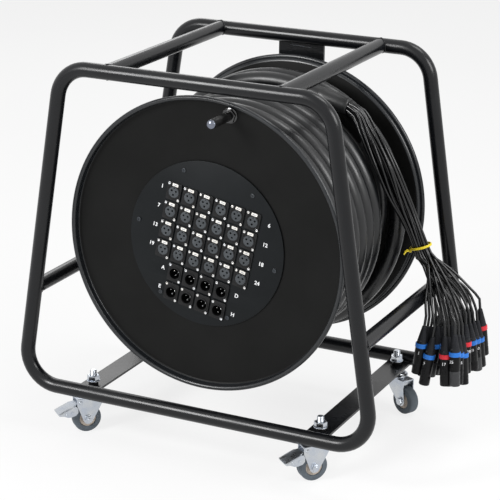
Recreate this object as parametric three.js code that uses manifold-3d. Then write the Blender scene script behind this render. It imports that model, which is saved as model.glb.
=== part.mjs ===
// Multicore cable drum: a reel of heavy cable with a round connector panel, carried in a tube stand on castors.
// Millimetres, +Z up. The front of the drum looks along -Y, and the object stands on z = 0.

import * as THREE from 'three';
import { mergeVertices } from 'three/addons/utils/BufferGeometryUtils.js';
import Module from 'manifold-3d';

const wasm = await Module();
wasm.setup();

// Stand
const tubeDiameter = 25;
const standDepth = 403.5;
const hoopHeight = 560;
const hoopTopWidth = 475;
const hoopBaseWidth = 650;
const hoopBendRadius = 56;
const topTubeSpacing = 306;
const sideTubeHeight = 173;
const railWidth = 40;
const railThickness = 4;
const railInset = 111;
const railDrop = 4;
const spineWidth = 86;
const spineThickness = 5;
const spineOffset = 9;

// Castors
const frontCastorInset = 45.75;
const rearCastorInset = 27.75;
const castorHeight = 73;
const collarHeight = 6.5;
const collarDiameter = 19;
const studDiameter = 12;
const studRise = 9.5;
const nutHeight = 10;
const nutWidth = 19;
const nutSpacerHeight = 6.5;
const nutSpacerDiameter = 17;
const wheelDiameter = 50;
const wheelWidth = 19;
const tyreDepth = 10.2;
const tyreChamfer = 1.2;
const brakedWheelTrail = 14;
const plainWheelTrail = 28;
const hubWidth = 20;
const hubDiameter = 17;
const rimWidth = 13;
const axleDiameter = 8;
const axleHeadDiameter = 13;
const axleHeadHeight = 4;
const cheekThickness = 2;
const forkInnerWidth = 21.2;
const forkRear = 13;
const forkFront = 34;
const forkTop = 63;
const forkSkirt = 9;
const forkLugRadius = 9;
const bridgeThickness = 2.5;
const raceDiameter = 42;
const raceRim = 3.2;
const raceNeck = 24;
const kingpinDiameter = 9.4;
const kingpinHead = 15;
const kingpinHeadHeight = 2.7;
const pedalLength = 44;
const pedalTipWidth = 28;
const pedalRootWidth = 19.4;
const pedalThickness = 2.5;
const pedalDrop = 17;
const pedalFlare = 7;
const pedalBoss = 6.6;
const pedalPinDiameter = 4;
const pedalPivotX = 27;
const pedalPivotDrop = 7;
const frontCastorHeading = THREE.MathUtils.degToRad(-131);
const rearRightHeading = THREE.MathUtils.degToRad(-27);
const rearLeftHeading = THREE.MathUtils.degToRad(205);

// Drum
const flangeDiameter = 500;
const beadDiameter = 8;
const sheetThickness = 2;
const frontBeadY = -158;
const rearBeadY = 187;
const flangeDish = 10;
const rimShoulder = 8;
const barrelDiameter = 280;
const barrelWall = 2;
const webSetback = 150;
const panelOpening = 248;
const hubTubeDiameter = 60;
const bearingBore = 25;
const bearingDiameter = 52;
const bearingWidth = 15;
const spindleThread = 20;
const spindleFlange = 70;
const spindleFlangeHeight = 8;
const spindleCollar = 34;
const spindleNutWidth = 30;
const spindleNutHeight = 12;
const washerDiameter = 36;
const washerThickness = 3;

// Connector panel
const panelDiameter = 280.4;
const panelThickness = 2.5;
const panelTurn = THREE.MathUtils.degToRad(-11.5);
const socketPitchAcross = 29.25;
const socketPitchDown = 34.3;
const socketTopRow = 69;
const femaleRows = 4;
const femaleColumns = 6;
const maleRows = 2;
const maleColumns = 4;
const socketWidth = 26;
const socketHeight = 31;
const socketPlate = 2.5;
const socketBody = 20.4;
const socketBodyLength = 20;
const socketFace = 17.6;
const socketFaceRise = 1.2;
const socketDrop = 1;
const latchWidth = 9;
const latchHeight = 4;
const latchRise = 0.8;
const maleBore = 17.6;
const maleBoreDepth = 16;
const pinDiameter = 2.4;
const pinLength = 12;
const pinCircle = 9;
const pinCount = 3;

// Crank
const crankRadius = 225;
const crankAngle = THREE.MathUtils.degToRad(79.5);
const crankBaseDiameter = 26;
const crankBaseHeight = 8;
const gripDiameter = 15.5;
const gripLength = 55;
const crankRodDiameter = 8;
const crankHeadDiameter = 15.5;
const crankHeadHeight = 7;
const crankBackNut = 15;
const crankBackNutHeight = 4;

// Cable
const cableDiameter = 30;
const cablePitch = 31;
const layerRadius = 207;
const firstTurnY = -129;
const drumTurns = 6.375;
const firstTurnAngle = THREE.MathUtils.degToRad(375);
const dipRadius = 60;
const dipAngle = THREE.MathUtils.degToRad(45);
const topTurnRadius = 222;
const rearLaneY = 161;
const topLaneY = 130;
const endLaneY = 99;
const freeStartAngle = THREE.MathUtils.degToRad(600);
const freeEndAngle = THREE.MathUtils.degToRad(75);
const climbDoneAngle = THREE.MathUtils.degToRad(525);
const shiftStartAngle = THREE.MathUtils.degToRad(540);
const shiftDoneAngle = THREE.MathUtils.degToRad(480);
const crossStartAngle = THREE.MathUtils.degToRad(300);
const crossDoneAngle = THREE.MathUtils.degToRad(120);
const bareRadius = 147;
const underTopRadius = 204.5;
const turnSteps = 24;
const cableSides = 6;
const pocketPoints = 9;
const sleeveDiameter = 31;
const sleeveLength = 55;
const sleeveTip = 27;
const bundleDiameter = 28;
const tieDiameter = 33;
const tieWidth = 8;
const branchDiameter = 8;
const connectorDiameter = 20.6;
const connectorLength = 84;
const bootLength = 30;
const bootTip = 6;
const bootDiameter = 11;
const knotLength = 11;
const bunchGap = 1.5;
const connectorRows = 4;
const connectorColumns = 8;
const connectorPitch = 17.4;
const connectorCorner = [320, 22];
const connectorTop = -146;
const connectorStagger = 5;
const bunchLean = THREE.MathUtils.degToRad(5);
const branchDrop = 60;
const branchLean = 16;

// Fits
const gap = 0.3;
const turningGap = 0.5;
const overrun = 30;
const tubeSides = 12;
const flangeSides = 32;
const wheelSides = 16;
const faceSides = 8;
const bodySides = 4;
const arcSteps = 4;
const castorSides = 8;
const boltSides = 6;
const pinSides = 4;
const connectorSides = 6;
const gripSides = 16;
const cordSides = 8;
const branchSides = 6;
const bundleSteps = 10;
const branchSteps = 4;

const black = { color: 0x17181a, roughness: 0.42, metalness: 0.3 };
const sheetBlack = { color: 0x141414, roughness: 0.5, metalness: 0.2 };
const zinc = { color: 0xc9ccd0, roughness: 0.3, metalness: 0.9 };
const steel = { color: 0x9a9da1, roughness: 0.35, metalness: 0.9 };
const tyreGrey = { color: 0x6f767d, roughness: 0.8, metalness: 0 };
const wheelCream = { color: 0xbdb4a8, roughness: 0.6, metalness: 0 };
const cableBlack = { color: 0x1b1c1e, roughness: 0.55, metalness: 0 };
const tieYellow = { color: 0xe8c81e, roughness: 0.5, metalness: 0 };

// Merges the shared vertices of a closed geometry, drops flat triangles and turns its faces outwards.
function closed(geometry) {
  const bare = geometry.clone();
  bare.deleteAttribute('normal');
  if (bare.attributes.uv) bare.deleteAttribute('uv');
  const merged = mergeVertices(bare, 1e-4);
  const index = merged.index.array;
  const kept = [];
  for (let i = 0; i < index.length; i += 3) {
    const [a, b, c] = [index[i], index[i + 1], index[i + 2]];
    if (a !== b && b !== c && c !== a) kept.push(a, b, c);
  }
  if (signedVolume(merged.attributes.position, kept) < 0) kept.reverse();
  merged.setIndex(kept);
  return merged;
}

function signedVolume(position, index) {
  const [a, b, c] = [new THREE.Vector3(), new THREE.Vector3(), new THREE.Vector3()];
  let sum = 0;
  for (let i = 0; i < index.length; i += 3) {
    a.fromBufferAttribute(position, index[i]);
    b.fromBufferAttribute(position, index[i + 1]);
    c.fromBufferAttribute(position, index[i + 2]);
    sum += a.dot(b.cross(c));
  }
  return sum / 6;
}

function solidOf(geometry) {
  const whole = closed(geometry);
  const vertProperties = new Float32Array(whole.attributes.position.array);
  const triVerts = new Uint32Array(whole.index.array);
  return new wasm.Manifold(new wasm.Mesh({ numProp: 3, vertProperties, triVerts }));
}

function geometryOf(solid) {
  const mesh = solid.getMesh();
  const geometry = new THREE.BufferGeometry();
  geometry.setAttribute('position', new THREE.BufferAttribute(new Float32Array(mesh.vertProperties), 3));
  geometry.setIndex(new THREE.BufferAttribute(new Uint32Array(mesh.triVerts), 1));
  return geometry;
}

function joined(...geometries) {
  return geometryOf(geometries.map(solidOf).reduce((sum, next) => sum.add(next)));
}

function cut(geometry, ...cutters) {
  return geometryOf(cutters.map(solidOf).reduce((left, next) => left.subtract(next), solidOf(geometry)));
}

// Turns a profile of [radius, height] points about +Z.
function turned(profile, sides, phase = 0) {
  const points = profile.map(([radius, height]) => new THREE.Vector2(radius, height));
  return closed(new THREE.LatheGeometry(points, sides, phase).rotateX(Math.PI / 2));
}

// Turns the same profile about the drum's axis, where height runs towards +Y.
function turnedAlongY(profile, sides, phase = 0) {
  const points = profile.map(([radius, height]) => new THREE.Vector2(radius, height));
  return closed(new THREE.LatheGeometry(points, sides, phase));
}

function rod(from, to, radius, sides = tubeSides) {
  const along = new THREE.Vector3().subVectors(to, from);
  const geometry = new THREE.CylinderGeometry(radius, radius, along.length(), sides);
  const turn = new THREE.Quaternion().setFromUnitVectors(new THREE.Vector3(0, 1, 0), along.clone().normalize());
  geometry.applyQuaternion(turn);
  return geometry.translate(...new THREE.Vector3().addVectors(from, to).multiplyScalar(0.5).toArray());
}

function block(width, depth, height, x, y, z) {
  return new THREE.BoxGeometry(width, depth, height).translate(x, y, z);
}

// A prism of a flat outline, from z = 0 up to its thickness.
function slab(shape, thickness, curveSegments = 4) {
  return new THREE.ExtrudeGeometry(shape, { depth: thickness, bevelEnabled: false, curveSegments });
}

function polygon(points) {
  return new THREE.Shape(points.map(([x, y]) => new THREE.Vector2(x, y)));
}

function roundHole(x, y, radius) {
  const path = new THREE.Path();
  path.absarc(x, y, radius, 0, 2 * Math.PI, true);
  return path;
}

// A hexagon nut or washer ring about +Z, from z = 0 up.
function hexRing(width, height, bore, sides = tubeSides) {
  const corner = width / Math.sqrt(3);
  const shape = polygon(Array.from({ length: 6 }, (_, k) => {
    const angle = k * Math.PI / 3;
    return [corner * Math.cos(angle), corner * Math.sin(angle)];
  }));
  shape.holes.push(roundHole(0, 0, bore / 2 / Math.cos(Math.PI / sides)));
  return slab(shape, height, sides / 2);
}

// A tube of even sides round a path whose directions stay away from the Y axis; a loop closes on itself.
function tube(points, radius, sides, loop = false) {
  const across = new THREE.Vector3(0, 1, 0);
  const count = points.length;
  const positions = [];
  points.forEach((point, i) => {
    const before = points[loop ? (i + count - 1) % count : Math.max(i - 1, 0)];
    const after = points[loop ? (i + 1) % count : Math.min(i + 1, count - 1)];
    const into = new THREE.Vector3().subVectors(point, before).normalize();
    const onward = new THREE.Vector3().subVectors(after, point).normalize();
    const tangent = new THREE.Vector3().addVectors(into, onward).normalize();
    const side = across.clone().addScaledVector(tangent, -across.dot(tangent)).normalize();
    const up = new THREE.Vector3().crossVectors(tangent, side);
    for (let k = 0; k < sides; k += 1) {
      const angle = 2 * Math.PI * k / sides;
      const rim = point.clone().addScaledVector(side, radius * Math.cos(angle));
      rim.addScaledVector(up, radius * Math.sin(angle));
      positions.push(...rim.toArray());
    }
  });
  const index = [];
  const spans = loop ? count : count - 1;
  for (let i = 0; i < spans; i += 1) {
    const here = i * sides;
    const next = ((i + 1) % count) * sides;
    for (let k = 0; k < sides; k += 1) {
      const turn = (k + 1) % sides;
      index.push(here + k, here + turn, next + turn, here + k, next + turn, next + k);
    }
  }
  if (!loop) {
    const last = (count - 1) * sides;
    for (let k = 1; k < sides - 1; k += 1) {
      index.push(0, k + 1, k, last, last + k, last + k + 1);
    }
  }
  const geometry = new THREE.BufferGeometry();
  geometry.setAttribute('position', new THREE.Float32BufferAttribute(positions, 3));
  geometry.setIndex(index);
  return closed(geometry);
}

function addPart(parent, name, geometry, look) {
  const mesh = new THREE.Mesh(geometry, new THREE.MeshStandardMaterial(look));
  mesh.name = name;
  parent.add(mesh);
  return mesh;
}

const drumCable = new THREE.Group();
const object = new THREE.Group();
const cord = new THREE.Group();
drumCable.add(object, cord);

// Heights above the floor, and the hoops' planes
const railTopZ = castorHeight + collarHeight + railThickness;
const baseTubeZ = railTopZ + railDrop;
const topTubeZ = baseTubeZ + hoopHeight;
const axisZ = baseTubeZ + hoopHeight / 2;
const railSpacing = hoopBaseWidth - 2 * railInset;
const frontHoopY = -standDepth / 2;
const rearHoopY = standDepth / 2;
const frontCastorY = frontHoopY + frontCastorInset;
const rearCastorY = rearHoopY - rearCastorInset;
const tubeRadius = tubeDiameter / 2;

// The hoop's centre line: a symmetrical outline, narrower at the top, with one arc at each corner.
function hoopOutline(y) {
  const corners = [
    [hoopTopWidth / 2, topTubeZ],
    [-hoopTopWidth / 2, topTubeZ],
    [-hoopBaseWidth / 2, baseTubeZ],
    [hoopBaseWidth / 2, baseTubeZ],
  ].map(([x, z]) => new THREE.Vector2(x, z));
  const points = [];
  corners.forEach((corner, i) => {
    const before = corners[(i + 3) % 4].clone().sub(corner).normalize();
    const after = corners[(i + 1) % 4].clone().sub(corner).normalize();
    const half = Math.acos(before.dot(after)) / 2;
    const inwards = before.clone().add(after).normalize();
    const centre = inwards.multiplyScalar(hoopBendRadius / Math.sin(half)).add(corner);
    const start = before.multiplyScalar(hoopBendRadius / Math.tan(half)).add(corner).sub(centre);
    const sweep = Math.PI - 2 * half;
    for (let k = 0; k <= arcSteps; k += 1) {
      const spoke = start.clone().rotateAround(new THREE.Vector2(), sweep * k / arcSteps).add(centre);
      points.push(new THREE.Vector3(spoke.x, y, spoke.y));
    }
  });
  return points;
}

// Half the hoop's width between the legs' centre lines at a height.
function legX(z) {
  const share = (topTubeZ - z) / hoopHeight;
  return (hoopTopWidth + (hoopBaseWidth - hoopTopWidth) * share) / 2;
}

// A tube that runs from the front hoop's plane to the rear hoop's.
function crossRod(x, z) {
  return rod(new THREE.Vector3(x, frontHoopY, z), new THREE.Vector3(x, rearHoopY, z), tubeRadius);
}

// Cuts the seat that a level stretch of hoop needs in what is welded to it.
function hoopCutter(x, y, z) {
  const [from, to] = [x - overrun, x + overrun].map((end) => new THREE.Vector3(end, y, z));
  return rod(from, to, tubeRadius + gap, 2 * tubeSides);
}

function addStand() {
  for (const [name, y] of [['front_hoop', frontHoopY], ['rear_hoop', rearHoopY]]) {
    addPart(object, name, tube(hoopOutline(y), tubeRadius, tubeSides, true), black);
  }
  const sideTubeZ = baseTubeZ + sideTubeHeight;
  for (const [side, sign] of [['left', -1], ['right', 1]]) {
    const topX = sign * topTubeSpacing / 2;
    const acrossTop = [frontHoopY, rearHoopY].map((y) => hoopCutter(topX, y, topTubeZ));
    addPart(object, `top_tube_${side}`, cut(crossRod(topX, topTubeZ), ...acrossTop), black);

    const sideX = sign * legX(sideTubeZ);
    const legs = [frontHoopY, rearHoopY].map((y) => rod(
      new THREE.Vector3(sign * legX(sideTubeZ - overrun), y, sideTubeZ - overrun),
      new THREE.Vector3(sign * legX(sideTubeZ + overrun), y, sideTubeZ + overrun),
      tubeRadius + gap,
      2 * tubeSides,
    ));
    addPart(object, `side_tube_${side}`, cut(crossRod(sideX, sideTubeZ), ...legs), black);

    const railX = sign * railSpacing / 2;
    const rail = block(railWidth, standDepth, railThickness, railX, 0, railTopZ - railThickness / 2);
    const acrossBase = [frontHoopY, rearHoopY].map((y) => hoopCutter(railX, y, baseTubeZ));
    const studHoles = [frontCastorY, rearCastorY].map((y) => rod(
      new THREE.Vector3(railX, y, railTopZ - overrun),
      new THREE.Vector3(railX, y, railTopZ + overrun),
      studDiameter / 2 + turningGap,
    ));
    addPart(object, `base_rail_${side}`, cut(rail, ...acrossBase, ...studHoles), black);
  }
}

// The plate between the rear hoop's top and bottom tubes that carries the drum's spindle.
const spineY = rearHoopY + spineOffset;
const spineFrontY = spineY - spineThickness / 2;
const spineRearY = spineY + spineThickness / 2;

function addSpine() {
  const plate = block(spineWidth, spineThickness, hoopHeight, 0, spineY, axisZ);
  const tubes = [topTubeZ, baseTubeZ].map((z) => rod(
    new THREE.Vector3(-spineWidth, rearHoopY, z),
    new THREE.Vector3(spineWidth, rearHoopY, z),
    tubeRadius + gap,
    2 * tubeSides,
  ));
  const bore = rod(
    new THREE.Vector3(0, spineFrontY - overrun, axisZ),
    new THREE.Vector3(0, spineRearY + overrun, axisZ),
    (spindleThread / 2 + gap) / Math.cos(Math.PI / tubeSides),
  );
  addPart(object, 'rear_spine', cut(plate, ...tubes, bore), black);
}

addStand();
addSpine();

// Castors: each one stands in its own turned group, with the wheel trailing along the group's +X.
// The braked ones trail less than the plain ones.
const wheelRadius = wheelDiameter / 2;
const axleZ = wheelRadius * Math.cos(Math.PI / wheelSides);
const forkHalf = forkInnerWidth / 2;
const pivotZ = forkTop - pedalPivotDrop;

function wheelTrail(braked) {
  return braked ? brakedWheelTrail : plainWheelTrail;
}

function forkShape(braked) {
  const trail = wheelTrail(braked);
  const shape = new THREE.Shape();
  shape.moveTo(-forkRear, forkTop);
  shape.lineTo(-forkRear, forkTop - forkSkirt);
  shape.lineTo(trail - forkLugRadius, axleZ);
  shape.absarc(trail, axleZ, forkLugRadius, Math.PI, 2 * Math.PI, false);
  shape.lineTo(forkFront, pivotZ - forkSkirt / 2);
  shape.lineTo(forkFront, forkTop);
  shape.closePath();
  shape.holes.push(roundHole(trail, axleZ, axleDiameter / 2 + gap));
  if (braked) shape.holes.push(roundHole(pedalPivotX, pivotZ, pedalPinDiameter / 2 + gap));
  return shape;
}

// Stands an outline drawn in X and Z upright, its near face at the given Y, reaching towards +Y.
function upright(shape, thickness, y) {
  return slab(shape, thickness).rotateX(Math.PI / 2).translate(0, y + thickness, 0);
}

function castorFork(braked) {
  const cheeks = [forkHalf, -forkHalf - cheekThickness]
    .map((y) => upright(forkShape(braked), cheekThickness, y));
  const width = forkInnerWidth + 2 * cheekThickness;
  const bridge = block(forkFront + forkRear, width, bridgeThickness, (forkFront - forkRear) / 2, 0,
    forkTop - bridgeThickness / 2);
  const bore = rod(new THREE.Vector3(0, 0, forkTop - overrun), new THREE.Vector3(0, 0, forkTop + overrun),
    kingpinDiameter / 2 + gap);
  return cut(joined(bridge, ...cheeks), bore);
}

// The fixed top: rivet head under the fork's bridge, pin, round cover, collar and threaded stud.
function castorTop() {
  const pin = kingpinDiameter / 2;
  const headTop = forkTop - bridgeThickness - gap;
  const stud = studDiameter / 2;
  const studTop = railTopZ + nutSpacerHeight + nutHeight + studRise;
  return turned([
    [0, headTop - kingpinHeadHeight],
    [kingpinHead / 2, headTop - kingpinHeadHeight],
    [kingpinHead / 2, headTop],
    [pin, headTop],
    [pin, forkTop + gap],
    [raceDiameter / 2, forkTop + gap],
    [raceDiameter / 2, forkTop + gap + raceRim],
    [raceNeck / 2, castorHeight],
    [collarDiameter / 2, castorHeight],
    [collarDiameter / 2, castorHeight + collarHeight - gap],
    [stud, castorHeight + collarHeight - gap],
    [stud, studTop],
    [0, studTop],
  ], castorSides);
}

// A plain spacer under a hexagon nut, about +Z, from z = 0 up.
function castorNut() {
  const bore = studDiameter + 2 * gap;
  const boreRadius = bore / 2 / Math.cos(Math.PI / castorSides);
  const top = nutSpacerHeight + nutHeight;
  const nut = hexRing(nutWidth, nutHeight, bore, castorSides).translate(0, 0, nutSpacerHeight);
  const spacer = turned([
    [boreRadius, 0],
    [nutSpacerDiameter / 2, 0],
    [nutSpacerDiameter / 2, top],
    [boreRadius, top],
    [boreRadius, 0],
  ], castorSides);
  return joined(spacer, nut);
}

function acrossAxle(trail, profile, sides, phase = 0) {
  return turnedAlongY(profile, sides, phase).translate(trail, 0, axleZ);
}

function tyre(trail) {
  const [inner, half] = [wheelRadius - tyreDepth, wheelWidth / 2];
  return acrossAxle(trail, [
    [inner, -half],
    [wheelRadius - tyreChamfer, -half],
    [wheelRadius, tyreChamfer - half],
    [wheelRadius, half - tyreChamfer],
    [wheelRadius - tyreChamfer, half],
    [inner, half],
    [inner, -half],
  ], wheelSides, Math.PI / wheelSides);
}

function wheelCentre(trail) {
  const rim = wheelRadius - tyreDepth - gap;
  const bore = axleDiameter / 2 + gap;
  return acrossAxle(trail, [
    [bore, -hubWidth / 2],
    [hubDiameter / 2, -hubWidth / 2],
    [rim, -rimWidth / 2],
    [rim, rimWidth / 2],
    [hubDiameter / 2, hubWidth / 2],
    [bore, hubWidth / 2],
    [bore, -hubWidth / 2],
  ], wheelSides, Math.PI / wheelSides);
}

function axleBolt(trail) {
  const inner = forkHalf + cheekThickness + gap;
  const outer = inner + axleHeadHeight;
  const [shank, head] = [axleDiameter / 2, axleHeadDiameter / 2];
  return acrossAxle(trail, [
    [0, -outer],
    [head, -outer],
    [head, -inner],
    [shank, -inner],
    [shank, inner],
    [head, inner],
    [head, outer],
    [0, outer],
  ], boltSides);
}

// The brake pedal: a boss and pin between the cheeks, and a plate that widens and slopes down to its tip.
function brakePedal() {
  const [root, tip] = [pedalRootWidth / 2, pedalTipWidth / 2];
  const slope = Math.asin(pedalDrop / pedalLength);
  const neckX = (forkFront - pedalPivotX) / Math.cos(slope) + 3 * turningGap;
  const plate = slab(polygon([
    [0, -root], [neckX, -root], [neckX + pedalFlare, -tip], [pedalLength, -tip],
    [pedalLength, tip], [neckX + pedalFlare, tip], [neckX, root], [0, root],
  ]), pedalThickness).translate(0, 0, -pedalThickness / 2);
  plate.rotateY(slope);
  const boss = rod(new THREE.Vector3(0, -root, 0), new THREE.Vector3(0, root, 0), pedalBoss / 2);
  const reach = forkHalf + cheekThickness;
  const [pinStart, pinEnd] = [-reach, reach].map((y) => new THREE.Vector3(0, y, 0));
  const pin = rod(pinStart, pinEnd, pedalPinDiameter / 2, castorSides);
  return joined(plate, boss, pin).translate(pedalPivotX, 0, pivotZ);
}

function addCastors() {
  const places = [
    ['front_left', -1, frontCastorY, frontCastorHeading, true],
    ['front_right', 1, frontCastorY, frontCastorHeading, true],
    ['rear_left', -1, rearCastorY, rearLeftHeading, false],
    ['rear_right', 1, rearCastorY, rearRightHeading, false],
  ];
  for (const [name, side, y, heading, braked] of places) {
    const castor = new THREE.Group();
    castor.position.set(side * railSpacing / 2, y, 0);
    const swivel = new THREE.Group();
    swivel.rotation.z = heading;
    castor.add(swivel);
    object.add(castor);
    const trail = wheelTrail(braked);
    addPart(castor, `castor_top_${name}`, castorTop(), zinc);
    addPart(swivel, `castor_fork_${name}`, castorFork(braked), zinc);
    addPart(swivel, `tyre_${name}`, tyre(trail), tyreGrey);
    addPart(swivel, `wheel_centre_${name}`, wheelCentre(trail), wheelCream);
    addPart(swivel, `axle_bolt_${name}`, axleBolt(trail), zinc);
    if (braked) addPart(swivel, `brake_pedal_${name}`, brakePedal(), zinc);
    addPart(castor, `castor_nut_${name}`, castorNut().translate(0, 0, railTopZ), zinc);
  }
}

addCastors();

// Drum: everything in this group lies about the drum's axis, which runs along Y through the group's origin.
const drum = new THREE.Group();
drum.position.set(0, 0, axisZ);
object.add(drum);

const frontFaceY = frontBeadY + flangeDish;
const frontBackY = frontFaceY + sheetThickness;
const rearFaceY = rearBeadY - flangeDish;
const rearInnerY = rearFaceY + sheetThickness;
const barrelRadius = barrelDiameter / 2;
const hubRadius = hubTubeDiameter / 2;

// A flange: flat sheet from its opening outwards, a dished rim and a rolled bead.
// Outward is -1 in front and 1 behind.
function flange(openingRadius, beadY, faceY, outward) {
  const bead = beadDiameter / 2;
  const edge = flangeDiameter / 2;
  const rim = edge - rimShoulder;
  const backY = faceY - outward * sheetThickness;
  return turnedAlongY([
    [openingRadius, faceY],
    [rim - sheetThickness, faceY],
    [edge - beadDiameter, beadY],
    [edge - beadDiameter + sheetThickness, beadY + outward * bead],
    [edge - sheetThickness, beadY + outward * bead],
    [edge, beadY + outward * bead / 2],
    [edge, beadY - outward * bead / 2],
    [edge - sheetThickness, beadY - outward * bead],
    [edge - bead, beadY - outward * bead],
    [rim, backY],
    [openingRadius, backY],
    [openingRadius, faceY],
  ], flangeSides);
}

function alongY(x, z, radius, fromY, toY, sides = tubeSides) {
  return rod(new THREE.Vector3(x, fromY, z), new THREE.Vector3(x, toY, z), radius, sides);
}

const crankPlace = [crankRadius * Math.cos(crankAngle), crankRadius * Math.sin(crankAngle)];

function addDrumShell() {
  const crankBore = crankRodDiameter / 2 + gap;
  const crankHole = alongY(...crankPlace, crankBore, frontFaceY - overrun, frontFaceY + overrun, faceSides);
  const front = flange(panelOpening / 2, frontBeadY, frontFaceY, -1);
  addPart(drum, 'front_flange', cut(front, crankHole), sheetBlack);
  addPart(drum, 'rear_flange', flange(hubRadius + gap, rearBeadY, rearInnerY, 1), sheetBlack);

  const barrelInner = barrelRadius - barrelWall;
  const webY = frontBackY + webSetback;
  addPart(drum, 'drum_barrel', turnedAlongY([
    [barrelRadius, frontBackY + gap],
    [barrelRadius, rearFaceY - gap],
    [barrelInner, rearFaceY - gap],
    [barrelInner, webY + sheetThickness],
    [hubRadius + gap, webY + sheetThickness],
    [hubRadius + gap, webY],
    [barrelInner, webY],
    [barrelInner, frontBackY + gap],
    [barrelRadius, frontBackY + gap],
  ], turnSteps), sheetBlack);
}

// Hub tube with a bearing at each end, running on a spindle that is bolted through the spine plate.
const hubFrontY = frontBackY + webSetback - bearingWidth;
const hubRearY = rearInnerY;

function addHub() {
  const seat = bearingDiameter / 2 + gap;
  for (const [end, y] of [['front', hubFrontY], ['rear', hubRearY - bearingWidth]]) {
    addPart(drum, `bearing_${end}`, turnedAlongY([
      [bearingBore / 2 + gap, y],
      [bearingDiameter / 2, y],
      [bearingDiameter / 2, y + bearingWidth],
      [bearingBore / 2 + gap, y + bearingWidth],
      [bearingBore / 2 + gap, y],
    ], tubeSides), steel);
  }
  addPart(drum, 'hub_tube', turnedAlongY([
    [seat, hubFrontY],
    [hubRadius, hubFrontY],
    [hubRadius, hubRearY],
    [seat, hubRearY],
    [seat, hubFrontY],
  ], tubeSides), sheetBlack);

  const thread = spindleThread / 2;
  const nutRoom = washerThickness + spindleNutHeight + 2 * gap;
  const flangeRearY = spineFrontY - gap;
  addPart(drum, 'spindle', turnedAlongY([
    [0, hubFrontY - nutRoom - thread],
    [thread, hubFrontY - nutRoom - thread],
    [thread, hubFrontY],
    [bearingBore / 2, hubFrontY],
    [bearingBore / 2, hubRearY + gap],
    [spindleCollar / 2, hubRearY + gap],
    [spindleCollar / 2, flangeRearY - spindleFlangeHeight],
    [spindleFlange / 2, flangeRearY - spindleFlangeHeight],
    [spindleFlange / 2, flangeRearY],
    [thread, flangeRearY],
    [thread, spineRearY + nutRoom + spindleThread / 4],
    [0, spineRearY + nutRoom + spindleThread / 4],
  ], tubeSides), steel);

  // Each nut has its washer as a flange, on the side that bears.
  const bore = spindleThread + 2 * gap;
  const boreRadius = bore / 2 / Math.cos(Math.PI / tubeSides);
  const washer = () => turned([
    [boreRadius, 0],
    [washerDiameter / 2, 0],
    [washerDiameter / 2, washerThickness],
    [boreRadius, washerThickness],
    [boreRadius, 0],
  ], tubeSides);
  const flangedNut = () => joined(hexRing(spindleNutWidth, spindleNutHeight + washerThickness, bore), washer());
  addPart(drum, 'spindle_nut_front', flangedNut().rotateX(Math.PI / 2).translate(0, hubFrontY - gap, 0), zinc);
  addPart(drum, 'spindle_nut_rear', flangedNut().rotateX(-Math.PI / 2).translate(0, spineRearY + gap, 0), zinc);
}

addDrumShell();
addHub();

// Connector panel: drawn in its own plane, +X across and +Y up, and then stood up facing the front and turned.
const panel = new THREE.Group();
panel.position.set(0, frontFaceY, 0);
panel.rotation.set(Math.PI / 2, 0, 0);
const panelFace = new THREE.Group();
panelFace.rotation.z = panelTurn;
panel.add(panelFace);
drum.add(panel);

function socketPlaces(rows, columns, topRow) {
  const places = [];
  for (let row = 0; row < rows; row += 1) {
    for (let column = 0; column < columns; column += 1) {
      places.push([(column - (columns - 1) / 2) * socketPitchAcross, topRow - row * socketPitchDown]);
    }
  }
  return places;
}

const femalePlaces = socketPlaces(femaleRows, femaleColumns, socketTopRow);
const malePlaces = socketPlaces(maleRows, maleColumns, socketTopRow - femaleRows * socketPitchDown);
const plateTop = panelThickness + socketPlate;

function standing(radius, fromZ, toZ, sides) {
  return new THREE.CylinderGeometry(radius, radius, toZ - fromZ, sides).rotateX(Math.PI / 2)
    .translate(0, -socketDrop, (fromZ + toZ) / 2);
}

// The plate and the body behind it, which every socket has.
function socketShell(sides) {
  const plate = block(socketWidth, socketHeight, plateTop, 0, 0, plateTop / 2);
  return joined(plate, standing(socketBody / 2, plateTop / 2 - socketBodyLength, plateTop / 2, sides));
}

function femaleSocket() {
  const face = standing(socketFace / 2, plateTop / 2, plateTop + socketFaceRise, faceSides);
  const latchY = (socketHeight - latchHeight) / 2 - gap;
  const latch = block(latchWidth, latchHeight, plateTop + latchRise, 0, latchY, (plateTop + latchRise) / 2);
  return joined(socketShell(bodySides), face, latch);
}

function maleSocket() {
  const floor = plateTop - maleBoreDepth;
  const pins = Array.from({ length: pinCount }, (_, k) => {
    const angle = Math.PI * (2 * k / pinCount - 1 / 2);
    return standing(pinDiameter / 2, floor - pinDiameter, floor + pinLength, pinSides)
      .translate(pinCircle / 2 * Math.cos(angle), pinCircle / 2 * Math.sin(angle), 0);
  });
  return joined(cut(socketShell(faceSides), standing(maleBore / 2, floor, overrun, faceSides)), ...pins);
}

// The sockets are riveted into the plate, so the panel is handled as one piece.
function addPanel() {
  const disc = new THREE.Shape();
  disc.absarc(0, 0, panelDiameter / 2, 0, 2 * Math.PI, false);
  const plate = slab(disc, panelThickness, flangeSides / 2);
  const hole = () => standing(maleBore / 2, -overrun, overrun, faceSides);
  const holes = malePlaces.map(([x, y]) => hole().translate(x, y, 0));
  const sockets = [
    ...femalePlaces.map(([x, y]) => femaleSocket().translate(x, y, 0)),
    ...malePlaces.map(([x, y]) => maleSocket().translate(x, y, 0)),
  ];
  const whole = joined(cut(plate, ...holes), ...sockets).translate(0, 0, gap);
  addPart(panelFace, 'connector_panel', whole, sheetBlack);
}

addPanel();

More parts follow.
